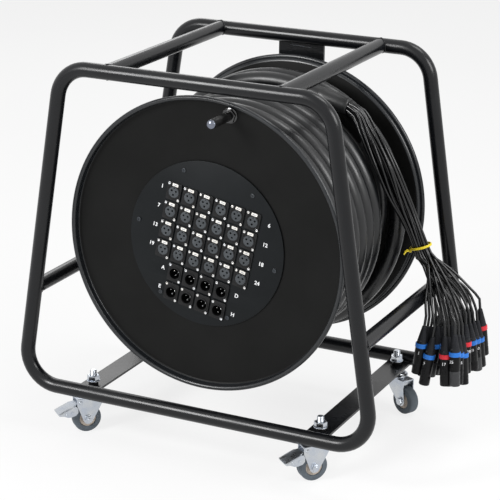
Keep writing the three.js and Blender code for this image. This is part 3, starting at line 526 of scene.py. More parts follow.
def spun(profile, axis, centre, steps, closed=False):
    """A profile of points spun a whole turn about an axis; a closed profile makes a ring."""
    piece = chain(profile + profile[:1] if closed else profile)
    bpy.ops.mesh.select_all(action="SELECT")
    bpy.ops.mesh.remove_doubles(threshold=SAME_PLACE)
    bpy.ops.mesh.select_all(action="SELECT")
    bpy.ops.mesh.spin(steps=steps, angle=2 * math.pi, center=centre, axis=axis)
    bpy.ops.mesh.select_all(action="SELECT")
    bpy.ops.mesh.remove_doubles(threshold=SAME_PLACE)
    bpy.ops.object.mode_set(mode="OBJECT")
    return piece


def drawn(outlines, dimensions, closed):
    """A curve of straight lines through the points of each outline."""
    select_none()
    bpy.ops.curve.primitive_nurbs_path_add()
    drawing = bpy.context.object
    drawing.location = (0, 0, 0)
    drawing.data.splines.clear()
    drawing.data.dimensions = dimensions
    for outline in outlines:
        spline = drawing.data.splines.new("POLY")
        spline.points.add(len(outline) - 1)
        for point, place in zip(spline.points, outline):
            point.co = (*place, 1.0)
        spline.use_cyclic_u = closed
    return drawing


def bent_tube(points, radius, sides=24, loop=False):
    """A round tube along a path, from a curve with a bevel, as a mesh with filled ends."""
    line = drawn([points], "3D", loop)
    line.data.twist_mode = "MINIMUM"
    line.data.bevel_depth = radius
    line.data.bevel_resolution = max(0, sides // 2 - 2)
    line.data.use_fill_caps = not loop
    select_only(line)
    bpy.ops.object.convert(target="MESH")
    return bpy.context.object


def flat_plate(outlines, thickness, bevel=0.0):
    """A plate of flat outlines in millimetres, the later ones being holes, standing on z = 0."""
    drawing = drawn([[(x * mm, y * mm, 0) for x, y in outline] for outline in outlines], "2D", True)
    curve = drawing.data
    curve.fill_mode = "BOTH"
    curve.extrude = (thickness / 2 - bevel) * mm
    curve.bevel_depth = bevel * mm
    curve.bevel_resolution = 1
    curve.offset = -bevel * mm
    drawing.location = (0, 0, thickness / 2 * mm)
    select_only(drawing)
    bpy.ops.object.convert(target="MESH")
    bpy.ops.object.transform_apply(location=True, rotation=True, scale=True)
    return bpy.context.object


def flat_word(word, size, depth, resolution, swell=0.0):
    """A word as a mesh, with its middle at the origin and its sizes in metres."""
    select_none()
    bpy.ops.object.text_add(location=(0, 0, 0))
    text = bpy.context.object
    text.data.body = word
    text.data.size = size
    text.data.align_x = "CENTER"
    text.data.align_y = "CENTER"
    text.data.extrude = depth
    text.data.offset = swell
    text.data.resolution_u = resolution
    select_only(text)
    bpy.ops.object.convert(target="MESH")
    return bpy.context.object


def arc(centre, radius, start, end, steps):
    """Points on an arc from one angle to another, in degrees."""
    return [(centre[0] + radius * math.cos(math.radians(start + (end - start) * k / steps)),
             centre[1] + radius * math.sin(math.radians(start + (end - start) * k / steps)))
            for k in range(steps + 1)]


def ring_places(radius, angles, y=0.0):
    """Points on a circle at the angles, in degrees."""
    return [(radius * math.cos(math.radians(angle)), y + radius * math.sin(math.radians(angle)))
            for angle in angles]


def round_outline(radius, x=0.0, y=0.0, steps=32):
    return [(x + radius * math.cos(2 * math.pi * k / steps), y + radius * math.sin(2 * math.pi * k / steps))
            for k in range(steps)]


def eased_rectangle(width, height, corner, steps=5):
    half_x, half_y = width / 2 - corner, height / 2 - corner
    points = []
    for quarter, (side_x, side_y) in enumerate([(1, 1), (-1, 1), (-1, -1), (1, -1)]):
        points += arc((side_x * half_x, side_y * half_y), corner, quarter * 90, quarter * 90 + 90, steps)
    return points


def at(x, y, z):
    """A point given in millimetres from the middle of the drum's axis."""
    return CENTRE + Vector((x, y, z)) * mm


def turned(profile, steps=96):
    """A closed profile of (radius, place along Y) in millimetres, spun about the drum's axis."""
    return spun([at(radius, y, 0) for radius, y in profile], (0, 1, 0), CENTRE, steps, closed=True)


def upright_turned(profile, steps=48, closed=True):
    """A profile of (radius, height) in millimetres, spun about +Z at the origin."""
    points = [Vector((radius, 0, height)) * mm for radius, height in profile]
    return spun(points, (0, 0, 1), (0, 0, 0), steps, closed)


# Routes of the cables
def between(first, second, start, end, place):
    """The point between two points that a place between two knots stands for."""
    return first * ((end - place) / (end - start)) + second * ((place - start) / (end - start))


def smooth_route(points, step):
    """A centripetal curve through the points, as points about one step apart."""
    places = [Vector(point) for point in points]
    places = [places[0] * 2 - places[1]] + places + [places[-1] * 2 - places[-2]]
    out = []
    for four in zip(places, places[1:], places[2:], places[3:]):
        knots = [0.0]
        for here, there in zip(four, four[1:]):
            knots.append(knots[-1] + max((there - here).length, SAME_PLACE) ** 0.5)
        count = max(1, round((four[2] - four[1]).length / step))
        for k in range(count):
            t = knots[1] + (knots[2] - knots[1]) * k / count
            three = [between(four[i], four[i + 1], knots[i], knots[i + 1], t) for i in range(3)]
            two = [between(three[i], three[i + 1], knots[i], knots[i + 2], t) for i in range(2)]
            out.append(between(two[0], two[1], knots[1], knots[2], t))
    out.append(places[-2])
    return out


def route_length(points):
    return sum((there - here).length for here, there in zip(points, points[1:]))


def passed(angle, start, end):
    """How much of the stretch from one angle down to another lies behind, from 0 to 1."""
    return min(1.0, max(0.0, (start - angle) / (start - end)))


def on_drum(degrees, radius, y):
    return at(radius * math.cos(math.radians(degrees)), y, radius * math.sin(math.radians(degrees)))


def dived(start, before, straight):
    """Points that carry a turn's end towards the drum on an arc and then straight on."""
    inward = Vector((CENTRE.x - start.x, 0, CENTRE.z - start.z)).normalized()
    along = start - before
    along.y = 0
    along = (along - inward * along.dot(inward)).normalized()
    points = []
    for k in range(1, DIP_STEPS + 1):
        bend = math.radians(DIP_ANGLE) * k / DIP_STEPS
        points.append(start + (along * math.sin(bend) + inward * (1 - math.cos(bend))) * DIP_RADIUS * mm)
    heading = (along + inward).normalized()
    points.append(points[-1] + heading * straight * mm)
    return points


def winding_route():
    """The outer layer's turns, with both ends let into the layer below."""
    points = [on_drum(FIRST_ANGLE - k * FINE_STEP, LAYER_RADIUS, FIRST_TURN_Y + PITCH * k * FINE_STEP / 360)
              for k in range(round(DRUM_TURNS * 360 / FINE_STEP) + 1)]
    return dived(points[0], points[1], CABLE)[::-1] + points + dived(points[-1], points[-2], CABLE)


def free_route():
    """The free end's turns, which change lanes twice and leave the drum at its top right."""
    points = []
    for k in range(round((FREE_START - FREE_END) / FINE_STEP) + 1):
        angle = FREE_START - k * FINE_STEP
        lanes = sum(passed(angle, *change) for change in LANE_CHANGES)
        radius = LAYER_RADIUS + TOP_TURN_LIFT * passed(angle, *LIFT_STRETCH)
        points.append(on_drum(angle, radius, FREE_START_Y - PITCH * lanes))
    points.append(points[-1] + LEAVING * CABLE * mm)
    return dived(points[0], points[1], CABLE / 2)[::-1] + points


def bundle_middle():
    """The middle line of the thin cables' bundle, from the sleeve to the tie."""
    sleeve_end = free_route()[-1] + LEAVING * SLEEVE_LENGTH * mm
    start = [sleeve_end, sleeve_end + LEAVING * BUNDLE_START * mm]
    return smooth_route(start + [at(*point) for point in BUNDLE_ROUTE], BUNDLE_STEP * mm)


def connector_hang(number):
    """Where a connector's boot begins, and the turn of its bunch, whose lower ends spread outwards."""
    row, column = number // 8, number % 8
    outer, back = row // 2, column // 4
    first_x, first_y = CONNECTOR_CORNER[0] + outer * BUNCH_GAP, CONNECTOR_CORNER[1] + back * BUNCH_GAP
    middle = Vector((first_x + (2 * outer + 0.5) * CONNECTOR_PITCH,
                     first_y + (4 * back + 1.5) * CONNECTOR_PITCH, CONNECTOR_TOP))
    tip = Vector((first_x + row * CONNECTOR_PITCH, first_y + column * CONNECTOR_PITCH,
                  CONNECTOR_TOP - CONNECTOR_STAGGER * ((3 * row + 5 * column) % 4)))
    lean = (Matrix.Rotation(math.radians((2 * back - 1) * BUNCH_LEAN), 4, "X")
            @ Matrix.Rotation(math.radians((1 - 2 * outer) * BUNCH_LEAN), 4, "Y"))
    return at(*(middle + lean.to_3x3() @ (tip - middle))), lean


def strand_in_bundle(number, middle, spread):
    """A thin cable's points in the bundle: its own place round the middle line, slowly twisting."""
    radius = spread * math.sqrt((number + 0.5) / STRANDS)
    spin = number * math.pi * (3 - math.sqrt(5))
    across = Vector((0, 1, 0))
    count = len(middle) - 1
    points = []
    for k, here in enumerate(middle):
        tangent = (middle[min(k + 1, count)] - middle[max(k - 1, 0)]).normalized()
        side = (across - tangent * across.dot(tangent)).normalized()
        lift = tangent.cross(side)
        share = k / count
        loose = 0.66 + 0.5 * math.sin(math.pi * min(1.0, share * 1.15)) + 0.2 * share
        angle = spin + 1.1 * share + 0.16 * math.sin(7 * share + number)
        points.append(here + (side * math.cos(angle) + lift * math.sin(angle)) * radius * loose * mm)
    return points


def strand_route(number, middle, spread):
    """One thin cable: in its place in the bundle to the tie, then over the side tube to its connector."""
    points = strand_in_bundle(number, middle, spread)
    start = middle[-1]
    way = (middle[-1] - middle[-2]).normalized()
    off = points[-1] - start
    target, lean = connector_hang(number)
    upward = lean.to_3x3() @ Vector((0, 0, 1))
    over = at(*OVER_SIDE_TUBE)
    aside = target.y - start.y
    out = target.x - start.x
    tail = [
        start + way * 12 * mm + off * 1.05,
        Vector((max(over.x - 8 * mm, start.x + out * 0.46), start.y + aside * 0.44,
                start.z - 38 * mm)) + off * 0.5,
        Vector((max(over.x, start.x + out * 0.80), start.y + aside * 0.80, over.z)),
        target + upward * 18 * mm,
        target + upward * 7 * mm,
        target - upward * 1 * mm,
    ]
    every_other = points[::2] + ([] if len(points) % 2 else [points[-1]])
    return smooth_route(every_other + tail, STRAND_STEP * mm)


# Sizes and colours that a user would change
def length(label, words, value):
    return bpy.props.FloatProperty(name=label, description=words, default=value, min=0.0, unit="LENGTH",
                                   subtype="DISTANCE", precision=4)


def angle_of(label, words, degrees):
    return bpy.props.FloatProperty(name=label, description=words, default=math.radians(degrees),
                                   unit="ROTATION", subtype="ANGLE")


def tint(label, words, colour):
    return bpy.props.FloatVectorProperty(name=label, description=words, default=colour, size=3, min=0.0,
                                         max=1.0, subtype="COLOR")


class CableDrumStandSizes(bpy.types.PropertyGroup):
    top_width: length("Top width", "Width of a hoop at its top, between the tube's middles", 0.475)
    base_width: length("Base width", "Width of a hoop at its base, between the tube's middles", 0.650)
    height: length("Height", "Height of a hoop between the tube's middles", 0.560)
    bend_radius: length("Bend radius", "Radius of the hoops' bends", 0.056)
    top_tube_spacing: length("Top tube spacing", "Distance between the two top cross tubes", 0.306)
    side_tube_height: length("Side tube height", "Height of the side tubes over the base tubes", 0.173)


class CableDrumDrumSizes(bpy.types.PropertyGroup):
    bead: length("Rolled bead", "Diameter of the rolled bead round each flange", 0.008)
    barrel_radius: length("Barrel radius", "Radius of the drum that the cable is wound on", 0.140)
    crank_radius: length("Crank radius", "Distance of the crank from the drum's axis", 0.225)
    crank_angle: angle_of("Crank angle", "Where the crank stands round the drum", 79.5)


class CableDrumPanelSizes(bpy.types.PropertyGroup):
    turn: angle_of("Turn", "How far the drum stands turned in the photograph", -11.5)
    across: length("Pitch across", "Distance between sockets in a row", 0.02925)
    down: length("Pitch down", "Distance between rows of sockets", 0.0343)
    top_row: length("Top row", "Height of the first row over the panel's middle", 0.069)
    figure: length("Figure height", "Height of the printed figures' type", 0.0092)


class CableDrumCableSizes(bpy.types.PropertyGroup):
    thin_diameter: length("Thin cable", "Diameter of each thin cable", 0.0047)
    bundle_radius: length("Bundle radius", "Radius that the thin cables' middles keep to", 0.0152)
    blue_ring: tint("First ring colour", "Ring on most of the connectors", (0.022, 0.165, 0.58))
    red_ring: tint("Second ring colour", "Ring on the other connectors", (0.66, 0.030, 0.045))


class CableDrumCastorSizes(bpy.types.PropertyGroup):
    braked_trail: length("Braked trail", "How far a braked castor's axle trails behind its stud", 0.014)
    plain_trail: length("Plain trail", "How far a plain castor's axle trails behind its stud", 0.028)


class CableDrumStage(bpy.types.Operator):
    """Sets the camera of the photograph, a pale floor and soft studio lamps"""
    bl_idname = "cable_drum.stage"
    bl_label = "Stage"

    def execute(self, context):
        scene = context.scene
        scene.camera = self.camera()
        self.floor()
        scene.world = self.air()
        for name, where, size, watts in LAMPS:
            self.lamp(name, Vector(where), size, watts)
        scene.view_settings.view_transform = "Standard"
        return {"FINISHED"}

    def camera(self):
        """The camera of the photograph, which looks from the drum's front right and is slightly rolled."""
        back = Vector((math.sin(VIEW_AZIMUTH) * math.cos(VIEW_ELEVATION),
                       -math.cos(VIEW_AZIMUTH) * math.cos(VIEW_ELEVATION), math.sin(VIEW_ELEVATION)))
        level = Vector((0, 0, 1)).cross(back).normalized()
        above = back.cross(level)
        right = level * math.cos(VIEW_ROLL) + above * math.sin(VIEW_ROLL)
        up = above * math.cos(VIEW_ROLL) - level * math.sin(VIEW_ROLL)
        place = CENTRE + back * VIEW_DISTANCE + right * VIEW_ASIDE - up * VIEW_BELOW
        select_none()
        bpy.ops.object.camera_add()
        camera = bpy.context.object
        camera.name = "photograph_camera"
        camera.matrix_world = Matrix((
            (right.x, up.x, back.x, place.x), (right.y, up.y, back.y, place.y),
            (right.z, up.z, back.z, place.z), (0, 0, 0, 1)))
        camera.data.sensor_width = SENSOR_WIDTH
        camera.data.lens = FOCAL_PIXELS * SENSOR_WIDTH / PICTURE_PIXELS
        return camera

    def floor(self):
        """A pale floor that keeps the shadow and is almost white to the camera and in reflections."""
        select_none()
        bpy.ops.mesh.primitive_plane_add(size=FLOOR_SIZE, location=(0, 0, cad_low.z))
        floor = bpy.context.object
        floor.name = "studio_floor"
        ground = Finish("pale_floor", 0.9, specular=0.1)
        tone = ground.ramp(ground.noise(0.8, detail=2.0), 0, 1)
        ground.feed("Base Color", ground.blend(tone, grey(0.90), grey(0.93)))
        lit = Wire(ground, ground.shader.outputs[0])
        glow = ground.node("ShaderNodeEmission", {}, {"Color": grey(1.0)})
        ground.show("Material Output", ground.node("ShaderNodeMixShader", {}, {
            0: ground.bare_rays() * FLOOR_GLOW, 1: lit, 2: glow}))
        floor.data.materials.append(ground.material)
        return floor

    def air(self):
        """A grey light from all round, which is white to the camera and in reflections."""
        world = bpy.data.worlds.new("studio_air")
        world.use_nodes = True
        sky = Nodes(world.node_tree)
        ambient = sky.tree.nodes["Background"]
        ambient.inputs["Color"].default_value = grey(AMBIENT_GREY)
        ambient.inputs["Strength"].default_value = AMBIENT_STRENGTH
        white = sky.node("ShaderNodeBackground", {}, {"Color": grey(1.0)})
        sky.show("World Output", sky.node("ShaderNodeMixShader", {}, {
            0: sky.bare_rays(), 1: Wire(sky, ambient.outputs[0]), 2: white}))
        return world

    def lamp(self, name, where, size, watts):
        """A soft oblong lamp that looks at the drum's middle."""
        select_none()
        bpy.ops.object.light_add(type="AREA", location=where)
        lamp = bpy.context.object
        lamp.name = name
        lamp.data.shape = "RECTANGLE"
        lamp.data.size, lamp.data.size_y = size
        lamp.data.energy = watts
        lamp.rotation_euler = (CENTRE - where).to_track_quat("-Z", "Y").to_euler()


class CableDrumFreeCable(bpy.types.Operator):
    """Lays the cable's free turns on the drum and fits the sleeve where it opens into thin cables"""
    bl_idname = "cable_drum.free_cable"
    bl_label = "Free cable"

    def execute(self, context):
        route = free_route()
        cable = bent_tube(route, CABLE / 2 * mm, 28)
        settle(cable, "free_cable", "cable_rubber", 60)
        hung(cable, "stand", "cable_black", "outer_turns")

        profile = [(0, 1), (15.4, 1), (16.1, 3), (16.2, 12), (16.0, 34), (15.6, 40), (14.9, 48), (14.6, 54),
                   (13.9, 55.4), (12.6, 56), (0, 56)]
        sleeve = upright_turned(profile, 40, closed=False)
        along = LEAVING.to_track_quat("Z", "Y").to_matrix().to_4x4()
        sleeve.matrix_world = Matrix.Translation(route[-1]) @ along
        settle(sleeve, "fan_out_sleeve_shrunk", "shrink_sleeve")
        hung(sleeve, "stand", "cable_black", "fan_out_sleeve")
        route_length(route)
        return {"FINISHED"}


class CableDrumThinCables(bpy.types.Operator):
    """Fans 32 thin cables out of the sleeve, each one with its connector, and ties them"""
    bl_idname = "cable_drum.thin_cables"
    bl_label = "Thin cables"

    def execute(self, context):
        sizes = context.scene.cable_drum_cable
        for name, colour in (("blue_ring", sizes.blue_ring), ("red_ring", sizes.red_ring)):
            moulded(name, tuple(colour), rough=0.4, grain=500.0, strength=0.1, specular=0.25)
        middle = bundle_middle()
        shells = [self.connector(False), self.connector(True)]
        for number in range(STRANDS):
            route = strand_route(number, middle, sizes.bundle_radius / mm)
            strand = bent_tube(route, sizes.thin_diameter / 2, 10)
            settle(strand, "thin_cable_%02d" % (number + 1), "thin_sheath", 60)
            replaced = {0: ["cable_bundle"], 1: ["thin_cables"]}.get(number, [])
            hung(strand, "stand", "thin_cable_black", *replaced)
            plug = self.plug(number, shells[number in LONG_ENDS])
            route_length(route)
        for shell in shells:
            bpy.data.objects.remove(shell)
        self.tie(middle)
        return {"FINISHED"}

    def plug(self, number, shell):
        """A copy of a connector with its number and ring, hung in its place with a turn of its own."""
        chance = random.Random(number)
        plug = joined([duplicate(shell), self.mark(number)])
        place, lean = connector_hang(number)
        tilt_x, tilt_y = (math.radians(chance.uniform(-CONNECTOR_TILT, CONNECTOR_TILT)) for axis in "XY")
        twist = math.radians(chance.uniform(*CONNECTOR_TURN))
        placed(plug, Matrix.Translation(place) @ lean @ Matrix.Rotation(tilt_x, 4, "X")
               @ Matrix.Rotation(tilt_y, 4, "Y") @ Matrix.Rotation(twist, 4, "Z"))
        plug.name = "connector_%02d" % (number + 1)
        if number in RED_RINGS:
            ring = [material.name for material in plug.data.materials].index("blue_ring")
            plug.data.materials[ring] = finish_of("red_ring")
        bunch = number // 16 + 2 * (number % 8 // 4) + 1
        return hung(plug, "stand", "connector_black", "cable_connectors_%d" % bunch)

    def connector(self, long_end):
        """A cable connector that hangs from its boot's tip at the origin; some have a longer grey end."""
        profile = [(0, 0.2), (3.0, 0.2), (3.7, -0.7)]
        for rib in range(BOOT_RIBS):
            top = -2.0 - BOOT_RIB_STEP * rib
            radius = BOOT_TIP_RADIUS + BOOT_RIB_GROWTH * rib
            profile += [(radius, top), (radius + 0.42, top - 2.3), (radius - 0.15, top - 2.55),
                        (radius - 0.05, top - 3.3)]
        profile += [(8.6, -28.6), (8.7, -29.9), (9.9, -30.3), (10.0, -31.0), (10.0, -36.8), (9.9, -37.4),
                    (9.0, -37.7)]
        if long_end:
            profile += [(9.2, -40), (9.2, -60), (8.7, -61), (8.7, -62.5), (9.0, -63.2), (9.0, -87.0),
                        (8.5, -88.0), (7.8, -88.0), (7.7, -80.0), (0, -80.0)]
        else:
            profile += [(9.2, -40), (9.2, -66), (8.8, -67.0), (8.8, -68.2), (9.1, -69.0), (9.1, -82.8),
                        (8.4, -83.8), (7.6, -83.8), (7.5, -77), (0, -77)]
        shell = settle(upright_turned(profile, 22, closed=False), "connector_shape", "connector_shell", 35)
        latch = placed(flat_plate([eased_rectangle(6.5, 11, 3.0)], 1.8, 0.5), self.facing(-8.3, -60))
        settle(latch, "latch_shape", "connector_shell", 35)
        dot = placed(flat_plate([round_outline(1.1, steps=12)], 1.6, 0.4), self.facing(-7.4, -24.5))
        settle(dot, "dot_shape", "grey_shell", 35)
        shell = joined([shell, latch, dot])
        paint_where(shell, "grey_boot", lambda spot: (
            spot.z > -29.7 * mm and spot.y > -7.9 * mm or spot.z > -20 * mm))
        paint_where(shell, "blue_ring", lambda spot: -37.5 * mm < spot.z < -29.9 * mm)
        if long_end:
            paint_where(shell, "grey_shell", lambda spot: spot.z < -62 * mm)
        return shell

    def facing(self, y, z):
        """The place that stands a flat piece on the connector's side, in millimetres."""
        return Matrix.Translation((0, y * mm, z * mm)) @ Matrix.Rotation(math.pi / 2, 4, "X")

    def mark(self, number):
        """The connector's plain number on its side."""
        word = placed(flat_word(str(number + 1), 0.0075, 0.0004, 2), self.facing(-9.05, -46))
        return settle(word, "number_shape", "white_print", 0)

    def tie(self, middle):
        """The thin yellow cord round the bundle: two turns, a knot and its loose ends."""
        where = middle[-1]
        way = (middle[-1] - middle[-2]).normalized()
        side = Vector((0, 1, 0))
        lift = way.cross(side).normalized()
        points = []
        for k in range(TIE_STEPS + 1):
            angle = 2 * math.pi * TIE_TURNS * k / TIE_STEPS
            points.append(where + (side * math.cos(angle) + lift * math.sin(angle)) * TIE_RADIUS * mm
                          + way * (-5 + 2.9 * k / TIE_STEPS + 2.0 * math.sin(angle)) * mm)
        pieces = [bent_tube(points, TIE_CORD * mm, 10)]
        corner = -side * 0.72 - lift * 0.72
        for turn, reach in ((-0.45, 13), (-1.25, 9)):
            heading = (-side * math.cos(turn) + way * 0.35 * math.sin(turn) - lift * 0.5).normalized()
            start = where + corner * (TIE_RADIUS + 1.6) * mm - way * 2.5 * mm
            bend = start + heading * reach * 0.5 * mm - way * 1.5 * mm
            tip = start + heading * reach * mm + Vector((0, 0, -3.0)) * mm
            pieces.append(bent_tube(smooth_route([start, bend, tip], 3 * mm), TIE_END * mm, 10))
        select_none()
        knot = where + corner * (TIE_RADIUS + 1.2) * mm - way * 2.5 * mm
        bpy.ops.mesh.primitive_uv_sphere_add(segments=16, ring_count=10, radius=TIE_KNOT * mm, location=knot)
        pieces.append(bpy.context.object)
        cord = settle(joined(pieces), "yellow_cord", "yellow_tie", 50)
        hung(cord, "stand", "tie_yellow", "bundle_tie")


class CableDrumWinding(bpy.types.Operator):
    """Winds the drum's own layers of cable"""
    bl_idname = "cable_drum.winding"
    bl_label = "Winding"

    def execute(self, context):
        outer = bent_tube(winding_route(), CABLE / 2 * mm, 24)
        settle(outer, "outer_layer", "cable_rubber", 60)
        hung(outer, "drum", "cable_black", "cable_winding")
        points = [on_drum(INNER_ANGLE + k * INNER_STEP, LAYER_RADIUS - PITCH - INNER_SLACK,
                          FIRST_TURN_Y + INNER_SLACK + INNER_PITCH * k * INNER_STEP / 360)
                  for k in range(round(INNER_TURNS * 360 / INNER_STEP) + 1)]
        inner = bent_tube(points, (CABLE / 2 - 0.2) * mm, 16)
        settle(inner, "inner_layer", "cable_rubber", 60)
        hung(inner, "drum", "cable_black", "cable_core")
        return {"FINISHED"}


class CableDrumStand(bpy.types.Operator):
    """Bends both hoops, sets the cross tubes between them and runs the welds"""
    bl_idname = "cable_drum.stand_tubes"
    bl_label = "Stand"

    def execute(self, context):
        size = context.scene.cable_drum_stand
        top = BASE_Z + size.height
        for name, y in (("front", FRONT_Y), ("rear", REAR_Y)):
            hoop = bent_tube(self.outline(size, y), TUBE / 2, 32, loop=True)
            settle(hoop, name + "_hoop_tube", "satin_black_tube", 60)
            hung(hoop, "stand", "tube_black", name + "_hoop")
        beads = self.cross_tubes(size, top) + self.rail_welds() + self.spine_welds(top)
        # The weld seam is real; its bright steel finish is a painted glint
        hung(settle(self.seam(top), "spine_seam_painted_glint", "turned_steel", 60), "stand", "tube_black")
        hung(settle(joined(beads), "weld_beads", "satin_black_tube", 60), "stand", "tube_black")
        for node in ("base_rail_left", "base_rail_right", "rear_spine"):
            wear(node, "satin_black_tube")
        return {"FINISHED"}

    def outline(self, size, y):
        """The middle line of a hoop, a tall shape with sloping sides and four round bends."""
        top = BASE_Z + size.height
        corners = [Vector((size.top_width / 2, top)), Vector((-size.top_width / 2, top)),
                   Vector((-size.base_width / 2, BASE_Z)), Vector((size.base_width / 2, BASE_Z))]
        points = []
        for i, corner in enumerate(corners):
            before = (corners[i - 1] - corner).normalized()
            after = (corners[(i + 1) % 4] - corner).normalized()
            half = before.angle(after) / 2
            middle = corner + (before + after).normalized() * size.bend_radius / math.sin(half)
            first = corner + before * size.bend_radius / math.tan(half) - middle
            sweep = math.pi - 2 * half
            for k in range(13):
                spoke = Matrix.Rotation(sweep * k / 12, 2) @ first + middle
                points.append(Vector((spoke.x, y, spoke.y)))
        return points

    def cross_tubes(self, size, top):
        """The four tubes between the hoops, and the weld beads at their ends."""
        side_z = BASE_Z + size.side_tube_height
        taper = (size.base_width - size.top_width) / 2
        leg_x = size.base_width / 2 - taper * size.side_tube_height / size.height
        lean = Vector((taper, 0, -size.height)).normalized()
        inset = TUBE / 2 * 0.55
        beads = []
        for side, sign in (("left", -1), ("right", 1)):
            for kind, x, z, along in (("top", sign * size.top_tube_spacing / 2, top, Vector((1, 0, 0))),
                                      ("side", sign * leg_x, side_z, Vector((sign * lean.x, 0, lean.z)))):
                ends = [Vector((x, FRONT_Y + inset, z)), Vector((x, REAR_Y - inset, z))]
                tube = bent_tube(ends, TUBE / 2, 32)
                settle(tube, "%s_cross_%s" % (kind, side), "satin_black_tube", 60)
                hung(tube, "stand", "tube_black", "%s_tube_%s" % (kind, side))
                for y, out in ((FRONT_Y, 1), (REAR_Y, -1)):
                    beads += self.ring_weld(x, y, z, out, along)
        return beads

    def ring_weld(self, x, y, z, out, along):
        """The bead where a cross tube meets a hoop that runs the given way, and the lump at its end."""
        radius = TUBE / 2 + CROSS_BEAD_PROUD
        ring = []
        for k in range(48):
            angle = 2 * math.pi * k / 48
            offset = Vector((math.cos(angle), 0, math.sin(angle))) * radius
            across = abs(offset.x * along.z - offset.z * along.x)
            reach = math.sqrt(max(0.0, radius ** 2 - across ** 2)) + CROSS_BEAD_RIPPLE * (k % 2)
            ring.append(Vector((x + offset.x, y + out * reach, z + offset.z)))
        bead = bent_tube(ring, CROSS_BEAD, 8, loop=True)
        select_none()
        aside, inward, up = (TUBE / 2 * part for part in WELD_LUMP_PLACE)
        spot = Vector((x + aside, y + out * inward, z + up))
        bpy.ops.mesh.primitive_uv_sphere_add(segments=16, ring_count=8, radius=WELD_LUMP, location=spot)
        return [bead, bpy.context.object]

    def rail_welds(self):
        """The beads along the hoops' base tubes, on top of both rails and on their inner side."""
        beads = []
        for node in ("base_rail_left", "base_rail_right"):
            low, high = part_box(node)
            reach = math.sqrt(TUBE ** 2 / 4 - (BASE_Z - high.z) ** 2) + RAIL_BEAD_OUT
            for y in (FRONT_Y + reach, REAR_Y - reach):
                beads.append(self.straight_weld(low.x, high.x, y, high.z + RAIL_BEAD_UP, RAIL_BEAD,
                                                inset=0.002, ripple=0.0003, steps=16))
        return beads

    def spine_welds(self, top):
        """The beads that hold the rear spine to the rear hoop, on both of its sides, top and bottom."""
        low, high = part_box("rear_spine")
        reach = math.sqrt(max(0.0, TUBE ** 2 / 4 - (high.y - REAR_Y - 0.0002) ** 2))
        beads = []
        for z, out in ((top, -1), (BASE_Z, 1)):
            for y, lift in ((high.y, reach + SPINE_BEAD_UP), (low.y, TUBE / 2 * 0.86)):
                beads.append(self.straight_weld(low.x, high.x, y, z + out * lift, SPINE_BEAD,
                                                inset=0.003, ripple=out * 0.0004, steps=24))
        return beads

    def straight_weld(self, left, right, y, z, radius, inset, ripple, steps):
        """A bead along X that stops short of both edges and ripples up or down."""
        length = right - left - 2 * inset
        line = [Vector((left + inset + length * k / steps, y, z + ripple * (k % 2)))
                for k in range(steps + 1)]
        return bent_tube(line, radius, 8)

    def seam(self, top):
        """The uneven weld seam of the spine's front, under the top tube; its bright steel finish is a
        painted glint.
        """
        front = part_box("rear_spine")[0].y - 0.0002
        height = top - TUBE / 2 - SEAM_DROP
        line = [Vector((-0.020 + 0.0405 * k / 20, front, height - 0.0012 * (k % 3 == 0) - 0.0016 * k / 20))
                for k in range(21)]
        return bent_tube(line, SEAM_BEAD, 6)


